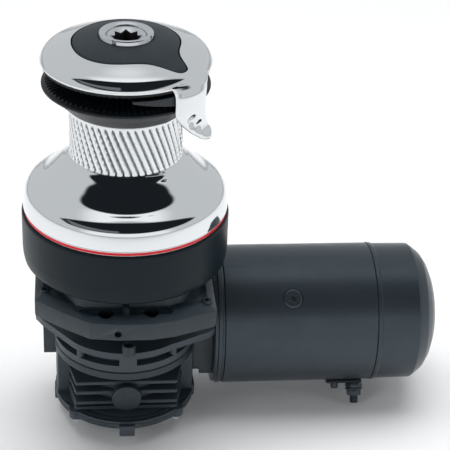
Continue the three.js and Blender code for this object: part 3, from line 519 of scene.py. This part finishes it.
def adapter():
    body = layered(ADAPTER_OUTLINE, ADAPTER_LEVELS, corner=3.5)
    cut(body, slab([(x * 0.925, y * 0.925) for x, y in ADAPTER_OUTLINE], 110, 126.5, corner=3))
    seat_back = [(x, -y) for x, y in reversed(SEAT_FRONT)]
    seat = slab(SEAT_FRONT + seat_back, 130, SEAT_TOP, corner=3)
    neck = lathe([(17.5, 83.3), (44, 83.3), (44, 89), (36, 95), (36, 131), (17.5, 131)], 1.2, 96)
    add(body, seat, neck)
    recess = [(-39, -69.6), (-42, -79), (-4, -81), (36, -79), (34, -69.6)]
    cut(body, layered(recess, [(0.985, 132.3), (1.0, 133), (1.02, 139.6)], corner=3))
    rib = [(-84, 128), (-60, 128), (-60, 138.6), (-74, 136.4), (-81, 132.6)]
    add(body, slab(rib, -4.5, 0.5, "X", 1))
    holes = [cylinder(BLIND_R, 127.2, 150, sx * BLIND_X, sy * BLIND_Y)
             for sx in (-1, 1) for sy in (-1, 1)]
    seats = [cylinder(4.5, 131.6, 143, x, y, 40) for x, y in ADAPTER_SCREWS]
    taps = [cylinder(2.4, 120, 140, x, y, 24) for x, y in ADAPTER_SCREWS]
    cut(body, cylinder(17.5, 80, 150, 0, 0, 64), cylinder_y(3, -95, -78, -8.6, 120.5, 32),
        *holes, *seats, *taps)
    soften(body, 0.6)
    piece(body, "adapter_casting", "fixed_frame", "black_casting", "adapter_flange")
    # The blind holes are painted black as the shade inside them.
    second_material(body, "black_plastic", lambda x, y, z:
                    math.hypot(abs(x) - BLIND_X, abs(y) - BLIND_Y) < BLIND_R + 0.7)

    for i, (x, y) in enumerate(ADAPTER_SCREWS, 1):
        head = cylinder(4.1, 131.9, 135.2, 0, 0, 48, 0.6)
        add(head, cylinder(2.1, 120.5, 132.5, 0, 0, 24))
        cut(head, slab([around(2.2, 60 * k) for k in range(6)], 133.2, 137))
        piece(shifted(head, x, y), f"adapter_bolt_{i}", "fixed_frame", "satin_steel",
              f"adapter_screw_{i}", material="black_casting")


# -------------------------------------------------------------- base, trim, drum
BASE_R = 84.9
BASE_LOW, BASE_TOP = 144.6, 188.6
TRIM_LOW, TRIM_TOP, TRIM_R = 188.9, 192.9, 82.9
TRIM_EDGE = 0.85            # bright line above and below the red one


def base_and_trim():
    base = lathe([(12.6, 144.9), (79, 144.9), (79, BASE_LOW), (82, BASE_LOW), (83.7, 146.4),
                  (84.4, 150), (BASE_R, 156), (BASE_R, 186.8), (84.3, BASE_TOP), (80.6, BASE_TOP),
                  (80.6, 150.1), (12.6, 150.1)], 1.2, 256)
    piece(base, "base_ring", "fixed_frame", "black_base", "winch_base")
    trim = lathe([(79.4, TRIM_LOW), (TRIM_R, TRIM_LOW), (TRIM_R + 0.05, TRIM_LOW + 0.8),
                  (TRIM_R + 0.05, TRIM_TOP - 0.8), (TRIM_R, TRIM_TOP), (79.4, TRIM_TOP)], 0.3, 256)
    piece(trim, "red_trim_line", "fixed_frame", "red_trim", "trim_ring")
    second_material(trim, "satin_steel", lambda x, y, z: z > TRIM_TOP - TRIM_EDGE)
    second_material(trim, "satin_steel", lambda x, y, z: z < TRIM_LOW + TRIM_EDGE)


DRUM_R, DRUM_BORE_R, DRUM_TOP = 45.4, 34.2, 282.2
FLUTES = 48
FLUTE_LOW, FLUTE_HIGH = 239.8, 278.6
FLUTE_DEPTH = 1.35
FLUTE_SHARE = 0.23          # half width, as a share of the pitch
FLUTE_END = 2.2             # height in which a flute comes to a round end
FLUTE_LEAN = 22             # degrees from upright
BELL = smooth_line([(83.6, 193.6), (83.4, 197), (82.9, 202), (81.9, 206.8), (80.2, 210), (77.4, 213),
                    (73, 215.9), (67, 219.5), (60, 226), (54, 231.6), (50, 235), (47.4, 237.6),
                    (45.8, 239)], 5)


def flute_depth(angle, z):
    """How far the drum's skin is sunk at an angle and a height, in millimetres."""
    from_end = min(z - FLUTE_LOW, FLUTE_HIGH - z)
    run = min(1.0, max(0.0, from_end / FLUTE_END))
    width = FLUTE_SHARE * math.sqrt(max(0.0, 1 - (1 - run) ** 2))
    slope = math.tan(math.radians(FLUTE_LEAN)) / DRUM_R
    phase = ((angle + slope * (z - FLUTE_LOW)) / (TAU / FLUTES)) % 1.0
    off = abs(phase - 0.5)
    if width <= 0.01 or off >= width:
        return 0.0
    return FLUTE_DEPTH * math.sqrt(1 - (off / width) ** 2) * min(1.0, width / FLUTE_SHARE)


def drum_body():
    rows = 40
    heights = [FLUTE_LOW + (FLUTE_HIGH - FLUTE_LOW) * k / rows for k in range(rows + 1)]
    inside = [(DRUM_R, 281.6), (45.0, DRUM_TOP), (DRUM_BORE_R, DRUM_TOP), (DRUM_BORE_R, 207.2),
              (78.6, 207.2), (78.6, 193.2), (83.2, 193.2)]

    def section(angle):
        return BELL + [(DRUM_R - flute_depth(angle, z), z) for z in heights] + inside

    def in_flute_shade(x, y, z):
        return 43 < math.hypot(x, y) < DRUM_R - 0.2 and FLUTE_LOW < z < FLUTE_HIGH

    drum = piece(polar(section, FLUTES * 12), "drum_chrome", "drum_group", "chrome", "drum", 40)
    # The sunk faces of the flutes are painted darker as the shade in the grooves.
    second_material(drum, "flute_painted_shade", in_flute_shade)


# ------------------------------------------------------------- self-tailing jaws
TEETH = 84
TOOTH = 1.1                 # height of a tooth on the lower jaw


def toothed(angle):
    """Height of a rounded radial tooth, from 0 to 1, round the jaw."""
    return min(1.0, max(0.0, 0.5 + 0.7 * math.cos(angle * TEETH)))


def jaws():
    cone = rounded([(46.1, 281.8), (47.4, 281.8), (57, 291.2), (66.7, 299.2), (66.7, 301),
                    (64.4, 302)], [0, 0.4, 4, 0.8, 0.8, 0])

    def lower_section(angle):
        lift = TOOTH * toothed(angle)
        grip = [(64.2, 302.1), (63.2, 302.3 + lift), (58, 303.2 + lift), (50, 304.5 + lift),
                (47.2, 304.8 + lift), (46.6, 305)]
        return cone + grip + [(36.9, 305), (36.9, 293), (46.1, 293)]

    piece(polar(lower_section, TEETH * 8), "lower_jaw_ring", "sprung_jaw", "black_plastic",
          "lower_jaw", 25)

    def upper_section(angle):
        drop = toothed(angle)
        grip = [(46.6, 309.7), (47.2, 309.9 - drop), (52, 311.3 - drop), (60, 313.7 - drop),
                (63.6, 315 - drop), (64.4, 315.4)]
        rim = [(65.8, 315.9), (66.2, 316.4), (66.2, 317.7), (65.8, 318.1), (62.5, 318.1),
               (50, 315), (36.9, 313.6), (36.9, 309.6)]
        return grip + rim

    piece(polar(upper_section, TEETH * 8), "upper_jaw_ring", "drum_group", "black_plastic",
          "upper_jaw", 25)

    hub = lathe([(DRUM_BORE_R, 282.5), (36.6, 282.5), (36.6, 318), (DRUM_BORE_R, 318)], 0.3, 128)
    piece(hub, "jaw_carrier", "drum_group", "black_anodised", "jaw_hub")


SPRING_LOW, SPRING_TOP, SPRINGS_AT = 282.5, 292.7, 41.3


def coil_spring(wire_r, coil_r, turns, per_turn=24, round_wire=8):
    """Coil with flat ends, standing on the drum's top."""
    low, high = SPRING_LOW + wire_r, SPRING_TOP - wire_r
    loops = []
    for i in range(turns * per_turn + 1):
        angle = TAU * i / per_turn
        climb = min(1.0, max(0.0, (i / per_turn - 0.5) / (turns - 1)))
        outward = Vector((math.cos(angle), math.sin(angle), 0))
        centre = outward * coil_r + Vector((0, 0, low + (high - low) * climb))
        loop = []
        for k in range(round_wire):
            a = TAU * k / round_wire
            rise = Vector((0, 0, wire_r * math.sin(a)))
            loop.append(tuple(centre + outward * wire_r * math.cos(a) + rise))
        loops.append(loop)
    return loft(loops)


def jaw_springs():
    for number, place in enumerate((30, 150, 270), 1):
        spring = shifted(coil_spring(0.7, 3.0, 4), *around(SPRINGS_AT, place))
        piece(spring, f"jaw_coil_{number}", "drum_group", "satin_steel", f"jaw_spring_{number}", 60)
        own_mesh(spring)


PEELER_START, PEELER_END = -88.0, -48.0


def peeler():
    """Wedge in the rope groove. Its top follows the upper jaw and its foot drops towards the arm."""
    section = rounded([(48.6, 306.7), (58, 305.6), (67.1, 304.2), (67.1, 313.4), (61, 311.7),
                       (48.6, 308.3)], 0.5)
    centre_r = sum(r for r, z in section) / len(section)
    steps = 40
    loops = []
    for i in range(steps + 1):
        degrees = PEELER_START + (PEELER_END - PEELER_START) * i / steps
        inset = 0.94 if i in (0, steps) else 1.0
        height = min(1.0, 0.22 + 0.95 * i / steps)
        loop = []
        for r, z in section:
            top = 308.3 + (r - 48.6) * 0.276
            loop.append((*around(centre_r + (r - centre_r) * inset, degrees), top - (top - z) * height))
        loops.append(loop)
    piece(loft(loops), "rope_stripper", "fixed_frame", "grey_plastic", "rope_peeler")


# ----------------------------------------------------------------------- top cap
CROWN = smooth_line([(17, 339.5), (21, 339.3), (30, 338.2), (40, 336), (48, 333.4), (56, 330.3),
                     (60.5, 328.5), (63, 327), (65.2, 324.7), (66.9, 321.8), (67.5, 320.2),
                     (67.4, 319.2)], 6)


def lookup(line, key):
    """Straight-line lookup in (key, value) points. Past an end it gives that end's value."""
    for (k0, v0), (k1, v1) in zip(line, line[1:]):
        if k0 <= key <= k1:
            return v0 + (v1 - v0) * (key - k0) / (k1 - k0)
    return line[0][1] if key < line[0][0] else line[-1][1]


def crown_z(r):
    """Height of the cap's crown at a radius up to the rim."""
    return lookup(CROWN, r)


# The teardrop insert is round but for its tail, which points at -46 degrees. Its outline is
# given as angle in degrees round the winch axis and radius.
TEARDROP = smooth_line([
    (-190, 41.9), (-176, 42.3), (-158, 43.7), (-145, 45.1), (-132, 46.0), (-120, 46.2), (-109, 45.8),
    (-98, 45.0), (-87.5, 44.5), (-79, 44.8), (-70.8, 46.4), (-64, 49.8), (-58.3, 54.3), (-53.6, 59.0),
    (-50, 61.0), (-45.5, 61.1), (-42.1, 59.8), (-39.7, 56.4), (-37.2, 51.8), (-32.8, 46.8),
    (-24.2, 43.2), (-11, 41.9), (2, 41.7), (20, 41.3), (45, 40.6), (90, 40.0), (135, 40.6),
    (170, 41.9), (184, 42.3)], 6)


def teardrop_r(angle):
    """Radius of the insert's outline at an angle in radians round the winch axis."""
    degrees = (math.degrees(angle) + 180) % 360 - 180
    return lookup(TEARDROP, degrees)


def in_recess_shade(x, y, z):
    """True in the recess under the teardrop insert, whose faces are painted black as the shade round the
    insert.
    """
    r = math.hypot(x, y)
    edge = teardrop_r(math.atan2(y, x)) + 0.75
    return 21.8 < r < edge and crown_z(r) - 2.9 < z < crown_z(r) - 0.25


def spread_between(start, end, steps):
    return [start + (end - start) * k / steps for k in range(steps + 1)]


def cap_dome():
    crown_end = 62.4
    rim = [(r, z) for r, z in CROWN if r > crown_end + 0.1]

    def section(angle):
        edge = teardrop_r(angle) + 0.55
        top = crown_z(edge)
        hub = [(17.6, 320.4), (17.6, 336.3), (21.9, 336.4)]
        recess = [(r, crown_z(r) - 2.7) for r in spread_between(22, edge - 0.3, 6)]
        lip = [(edge, top - 2.4), (edge, top - 0.75), (edge + 0.12, top - 0.35),
               (edge + 0.4, top - 0.14)]
        crown = [(r, crown_z(r)) for r in spread_between(edge + 0.85, crown_end, 16)]
        under = [(67.0, 318.6), (66.3, 318.5), (64.6, 318.8), (62, 322), (50, 327.3), (40, 330.4),
                 (30, 330.6), (30, 320.4)]
        return hub + recess + lip + crown + rim + under

    dome = polar(section, 720)
    add(dome, tailing_arm())
    piece(dome, "cap_dome", "fixed_frame", "chrome", "top_cap", smooth=40)
    # The recess round the teardrop insert is painted black as its shade.
    second_material(dome, "black_plastic", in_recess_shade)


# The tailing arm seen square on: height, left edge and right edge, and then its height with the
# radius of its outer and its inner skin. Hollows are (sideways, height, width, tallness, depth).
ARM_ROWS = [
    (325, -25, 27), (322, -22.6, 23.6), (319, -20.4, 20.8), (315.5, -18.9, 18), (312, -18.4, 16.4),
    (305, -18.3, 15.2), (297, -18.0, 15.0), (291.6, -15.6, 15.3), (287.5, -12.2, 15.9),
    (283.4, -8.2, 17.1), (279.5, -4.2, 19.4), (275.8, 0.8, 21.8), (273.2, 4.2, 22.6),
    (271.2, 7.4, 21.9), (270.2, 10.4, 20.0)]
ARM_SKIN = [
    (325, 62.0, 60.0), (323, 65.0, 63.4), (320.5, 67.8, 65.4), (317, 69.6, 66.6), (312, 70.6, 67.5),
    (300, 70.9, 67.9), (290, 70.9, 68.1), (284, 71.2, 68.4), (279, 71.9, 69.0), (274.5, 73.1, 70.3),
    (272, 73.8, 71.2), (270.2, 74.0, 72.0)]
ARM_HOLLOWS = [(-4.0, 289.5, 4.2, 4.6, 3.8), (3.0, 284.0, 4.6, 4.2, 3.0),
               (11.0, 279.0, 5.0, 3.4, 2.6)]
ARM_SWELL = 2.4
ARM_TURN = 46               # degrees round from the front


def arm_swell(t, z, left, right):
    """Outward swelling of the arm across its width, less the hollows above its foot."""
    u = (2 * t - left - right) / (right - left)
    below_rim = min(1.0, max(0.0, (324 - z) / 12))
    swell = ARM_SWELL * (1 - u * u) * below_rim
    for at, height, wide, tall, deep in ARM_HOLLOWS:
        swell -= deep * math.exp(-((t - at) / wide) ** 2 - ((z - height) / tall) ** 2)
    return swell


def tailing_arm():
    """Strip of shell that hangs from the rim, with rounded edges and a hooked foot."""
    rows = [smooth_line([(row[0], row[column]) for row in ARM_ROWS], 4) for column in (1, 2)]
    skins = [[(row[0], row[column]) for row in reversed(ARM_SKIN)] for column in (1, 2)]
    across, edge_steps = 24, 5
    loops = []
    for (z, left), (_, right) in zip(*rows):
        outer, inner = (lookup(skin, z) for skin in skins)
        half, middle = (outer - inner) / 2, (outer + inner) / 2
        # Sideways place and depth out from the middle of the shell, once round it.
        outline = []
        for start, end, side in ((left + half, right - half, 1), (right - half, left + half, -1)):
            outline += [(t, side * half) for t in spread_between(start, end, across)]
            turns = [math.pi * k / edge_steps for k in range(1, edge_steps)]
            outline += [(end + side * half * math.sin(a), side * half * math.cos(a)) for a in turns]
        loop = []
        for t, out in outline:
            reach = middle + out + arm_swell(t, z, left, right)
            loop.append((t, -math.sqrt(reach ** 2 - t ** 2), z))
        loops.append(loop)
    return turned_by(loft(loops), ARM_TURN)


NOTCHES = [math.radians(62 + 90 * k) for k in range(4)]


def cap_fittings():
    def insert_section(angle):
        edge = teardrop_r(angle)
        radii = spread_between(22.3, edge - 0.9, 10)
        top = [(r, crown_z(r) - 0.3) for r in radii]
        lip = [(edge - 0.45, crown_z(edge) - 0.5), (edge - 0.25, crown_z(edge) - 0.9)]
        under = [(r, crown_z(r) - 2.4) for r in reversed([*radii, edge])]
        return top + lip + under

    piece(polar(insert_section, 720), "cap_teardrop", "fixed_frame", "black_plastic", "cap_insert",
          35, "insert_plastic")

    def ring_section(angle):
        away = min(abs((angle - n + math.pi) % TAU - math.pi) for n in NOTCHES) * 21
        deep = 1.5 if away < 1.6 else 0.0
        return [(15.5, 336.8), (21.6, 336.8), (21.6, 339.3), (21.5 - deep, 339.5), (21.4 - deep, 341),
                (21.1 - min(deep, 0.6), 341.7), (20.4, 342.3), (19.6, 342.5), (18.6, 342.3),
                (17.2, 341.5), (15.7, 340.5), (15.5, 340.2)]

    piece(polar(ring_section, 360), "cap_nut", "fixed_frame", "satin_steel", "cap_ring")


SOCKET_CORNER_R = 12.3
SOCKET_FLOOR = 318


def star_r(angle):
    """Radius of the eight-point socket, two squares turned 45 degrees apart."""
    out = 0.0
    for turn in (0.0, math.pi / 4):
        a = (angle - turn) % (math.pi / 2) - math.pi / 4
        out = max(out, SOCKET_CORNER_R * math.cos(math.pi / 4) / math.cos(a))
    return out


def star_top(angle):
    """Height at which the wall of the star meets the flared mouth of the socket."""
    return 337.0 + (star_r(angle) - 8.8) * 0.58


def shaft():
    def section(angle):
        r = star_r(angle)
        meet = star_top(angle)
        socket = [(0, SOCKET_FLOOR), (r - 0.4, SOCKET_FLOOR), (r, SOCKET_FLOOR + 0.4), (r, meet - 0.3),
                  (r + 0.15, meet + 0.05), (13.0, 339.5), (14.9, 340.1), (15.2, 339.9)]
        return socket + [(15.2, 313.2), (15.0, 312.8), (11.8, 311), (11.8, 111), (8.3, 111),
                         (8.3, 126.5), (0, 126.5)]

    def in_socket_shade(x, y, z):
        below_mouth = SOCKET_FLOOR - 1 < z < star_top(math.atan2(y, x))
        return math.hypot(x, y) < SOCKET_CORNER_R + 0.1 and below_mouth

    spindle = piece(polar(section, 480), "drive_spindle", "drive_shaft", "satin_steel", "main_shaft", 28)
    # The walls and floor of the star socket are painted dark as the shade inside it.
    second_material(spindle, "socket_painted_shade", in_socket_shade)


# ------------------------------------------------------------------------- motor
MOTOR_R, MOTOR_BORE_R = 60.8, 55
TUBE_START, TUBE_END = 84.6, 216
POLE_X = 142.5
POLE_SIDES = (46.3, 226.3)
TERMINAL_X, TERMINAL_ANGLE = 204.5, 151


def motor_case():
    flange = lathe([(17.3, 75.9), (59.6, 75.9), (59.6, 78.4), (60.7, 79.2), (60.7, 82), (59.8, 82.5),
                    (59.8, 84.3), (54.6, 84.3), (54.6, 90), (17.3, 90)], 0.35, 192)
    piece(along_motor(flange), "motor_mounting_plate", "fixed_frame", "motor_steel", "motor_flange")

    tube = along_motor(lathe([(MOTOR_BORE_R, TUBE_START), (MOTOR_R, TUBE_START),
                              (MOTOR_R, TUBE_END), (MOTOR_BORE_R, TUBE_END)], 0.7, 256))
    sinks = [on_motor(cylinder(8.7, 58.4, 66, 0, 0, 64), side, POLE_X) for side in POLE_SIDES]
    bores = [on_motor(cylinder(4.4, 40, 66), side, POLE_X) for side in POLE_SIDES]
    cut(tube, *sinks, *bores, on_motor(cylinder(4.4, 40, 66), TERMINAL_ANGLE, TERMINAL_X))
    soften(tube, 0.25, 2, 50)
    piece(tube, "motor_shell", "fixed_frame", "motor_steel", "motor_tube")

    outline = [(56.6, 216.3), (61.2, 216.3), (61.2, 219.4), (60.2, 220.4), (59.9, 252.6), (57.4, 256),
               (52.6, 262), (45.4, 266.8), (33.6, 271.6), (18, 274), (0, 274.5), (0, 268), (17.3, 268),
               (17.3, 254), (22, 254), (34, 266.8), (54, 251)]
    radii = [0.3, 0.7, 0.7, 0.5, 1.6, 7, 10, 12, 16, 16, 0, 0, 0.5, 0.5, 0.5, 2, 2]
    cap = along_motor(lathe(outline, radii, 256))
    piece(cap, "motor_end_bell", "fixed_frame", "motor_steel", "end_cap")


def pole_screws():
    for i, side in enumerate(POLE_SIDES, 1):
        head = lathe([(0, 58.8), (8.4, 58.8), (8.4, 60.2), (6.8, 61), (0, 61)], 0.5, 96)
        add(head, cylinder(4, 47.5, 59.2, 0, 0, 32))
        cross = [(-4.6, 0.5), (-1.4, 1.4), (-0.5, 4.6), (0.5, 4.6), (1.4, 1.4), (4.6, 0.5), (4.6, -0.5),
                 (1.4, -1.4), (0.5, -4.6), (-0.5, -4.6), (-1.4, -1.4), (-4.6, -0.5)]
        cut(head, layered(cross, [(0.45, 59.2), (1.0, 61.3), (1.1, 62)]))
        soften(head, 0.2)
        bolt = on_motor(turned_by(head, 20), side, POLE_X)
        piece(bolt, f"pole_bolt_{i}", "fixed_frame", "satin_steel",
              f"pole_screw_{i}", material="motor_steel")


def terminals():
    def stand(obj, x=TERMINAL_X):
        return on_motor(obj, TERMINAL_ANGLE, x)

    pad = box((-25, 6.5), (-6.5, 6.5), (61.1, 64), 2.5)
    cut(pad, cylinder(4.2, 60, 66), shifted(cylinder(3.6, 60, 66), -17.5))
    piece(stand(soften(pad, 0.4)), "terminal_pad", "fixed_frame", "black_plastic", "terminal_insulator")

    stud_r, root_r, pitch, turns, thread_low = 3.8, 3.35, 1.25, 14, 64.0
    thread = [(0, 48), (stud_r, 48), (stud_r, thread_low)]
    for turn in range(turns):
        z = thread_low + pitch * turn
        thread += [(stud_r, z + 0.1), (stud_r, z + 0.45), (root_r, z + 0.75), (root_r, z + 0.95)]
    thread += [(stud_r, 81.6), (3.1, 82.4), (0, 82.4)]
    piece(stand(lathe(thread, 0.08, 48)), "terminal_bolt", "fixed_frame", "motor_steel", "terminal_stud")

    def nut(radius, low, high, turn):
        body = slab([around(radius, 60 * k + turn) for k in range(6)], low, high)
        bore = lathe([(0, low - 1), (4.1, low - 1), (4.1, high + 1), (0, high + 1)], 0, 48)
        flat_r, full_r = radius * 0.9, radius * 1.02
        round_off = lathe([(0, low), (flat_r, low), (full_r, low + 0.8), (full_r, high - 0.8),
                           (flat_r, high), (0, high)], 0, 64)
        combine(body, [round_off], "INTERSECT")
        return stand(soften(cut(body, bore), 0.15))

    piece(nut(7.5, 64.3, 68.6, 0), "terminal_hex_inner", "fixed_frame", "motor_steel",
          "terminal_nut_inner")
    piece(nut(6.9, 70.6, 75.6, 30), "terminal_hex_outer", "fixed_frame", "motor_steel",
          "terminal_nut_outer")
    washer = lathe([(4.1, 68.9), (7.8, 68.9), (7.8, 70.3), (4.1, 70.3)], 0.3, 64)
    piece(stand(washer), "terminal_ring", "fixed_frame", "motor_steel", "terminal_washer")
    post = lathe([(0, 61.4), (3.3, 61.4), (3.3, 67.6), (2.7, 69), (0, 69)], 0.5, 48)
    piece(stand(post, 187), "side_post", "fixed_frame", "motor_steel", "side_terminal")


# --------------------------------------------------------------- carried-over CAD
CARRIED = {
    "gear_steel": ["worm_shaft", "output_shaft", "centre_gear", "idler_spindle", "ring_gear", "armature",
                   "pole_shoe_1", "pole_shoe_2"],
    "bronze": ["worm_wheel", "idler_gear"],
    "copper": ["commutator"],
    "carbon": ["brush_1", "brush_2"],
    "black_plastic": ["brush_holder"],
    "satin_steel": ["centre_stem", "output_bearing_lower", "output_bearing_upper",
                    "worm_bearing_far", "worm_bearing_near", "motor_bearing_front",
                    "motor_bearing_rear", "drum_bearing_lower", "drum_bearing_upper"],
}


def dress_carried_nodes():
    for slot_name, names in CARRIED.items():
        for name in names:
            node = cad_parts[name]
            node.data.materials.clear()
            node.data.materials.append(MATERIALS[slot_name])


# ---------------------------------------------------------------- floor and light
FLOOR_Z = -0.0126           # metres, just under the lowest piece
FLOOR_REACH = 30
AIM = Vector((0.05, 0, 0.15))

# What the polished pieces reflect, by direction.
WALL = (0.62, 0.64, 0.655)
CEILING = (1.05, 1.06, 1.07)
BRIGHT_FRONT = (1.0, 1.01, 1.02)
FLAG = (0.012, 0.014, 0.017)
DIM_WINDOW = (0.16, 0.175, 0.19)


def softbox(name, location, size, power):
    """Soft light aimed at the winch. It lights but isn't seen in reflections."""
    data = bpy.data.lights.new(name, "AREA")
    data.shape = "RECTANGLE"
    data.size, data.size_y = size
    data.energy = power
    lamp = bpy.data.objects.new(name, data)
    lamp.location = location
    lamp.rotation_mode = "QUATERNION"
    lamp.rotation_quaternion = (AIM - Vector(location)).to_track_quat("-Z", "Y")
    lamp.visible_glossy = False
    bpy.context.scene.collection.objects.link(lamp)


def lay_floor():
    square = ((-1, -1), (1, -1), (1, 1), (-1, 1))
    corners = [(x * FLOOR_REACH, y * FLOOR_REACH, FLOOR_Z) for x, y in square]
    mesh = bpy.data.meshes.new("floor")
    mesh.from_pydata(corners, [], [(0, 1, 2, 3)])
    floor = bpy.data.objects.new("floor", mesh)
    bpy.context.scene.collection.objects.link(floor)
    mesh.materials.append(surface("floor_paint", (0.97, 0.97, 0.97), 0, 0.8, 0.05,
                                  (0.96, 0.96, 0.96), 40))


def surroundings():
    """White behind the winch, and for reflections a dark flag and bright fields round it."""
    world = bpy.data.worlds.new("studio")
    bpy.context.scene.world = world
    world.use_nodes = True
    tree = world.node_tree
    tree.nodes.clear()
    direction = new_node(tree, "SeparateXYZ", {0: new_node(tree, "TexCoord").outputs["Generated"]})

    def step(axis, start, end):
        """0 before start and 1 past end, along one axis of the direction."""
        ramp = new_node(tree, "MapRange", {"Value": direction.outputs[axis], "From Min": start,
                                           "From Max": end}, interpolation_type="SMOOTHSTEP")
        return ramp.outputs["Result"]

    def both(a, b):
        return new_node(tree, "Math", {0: a, 1: b}, operation="MULTIPLY").outputs[0]

    low_front = both(step("Y", -0.55, -0.8), step("Z", 0.44, 0.36))
    flag = both(both(step("Y", -0.02, -0.10), step("Z", 0.42, 0.48)),
                both(step("X", -0.88, -0.82), step("X", 0.92, 0.86)))
    window = both(both(step("Z", 0.50, 0.52), step("Z", 0.68, 0.66)),
                  both(step("X", -0.80, -0.78), step("X", -0.12, -0.16)))
    sky = mixed(tree, WALL, CEILING, step("Z", 0.86, 0.985))
    sky = mixed(tree, sky, BRIGHT_FRONT, low_front)
    sky = mixed(tree, sky, FLAG, flag)
    sky = mixed(tree, sky, DIM_WINDOW, both(window, step("Y", -0.12, -0.16)))

    seen = new_node(tree, "LightPath").outputs["Is Camera Ray"]
    reflected = new_node(tree, "Background", {"Color": sky}).outputs[0]
    backdrop = new_node(tree, "Background", {"Color": (1, 1, 1, 1)}).outputs[0]
    mix = new_node(tree, "MixShader", {"Fac": seen, 1: reflected, 2: backdrop})
    new_node(tree, "OutputWorld", {"Surface": mix.outputs[0]})


def studio():
    lay_floor()
    surroundings()
    softbox("overhead", (0.1, 0.35, 2.2), (2.4, 1.6), 38)
    softbox("key_left", (-1.9, -1.2, 1.5), (1.1, 1.5), 9)
    softbox("fill_right", (2.1, -0.8, 1.2), (0.9, 1.4), 6)
    bpy.context.scene.view_settings.view_transform = "Standard"


make_camera()
gear_housing()
gearbox_fittings()
adapter()
base_and_trim()
drum_body()
jaws()
jaw_springs()
peeler()
cap_dome()
cap_fittings()
shaft()
motor_case()
pole_screws()
terminals()
dress_carried_nodes()
studio()
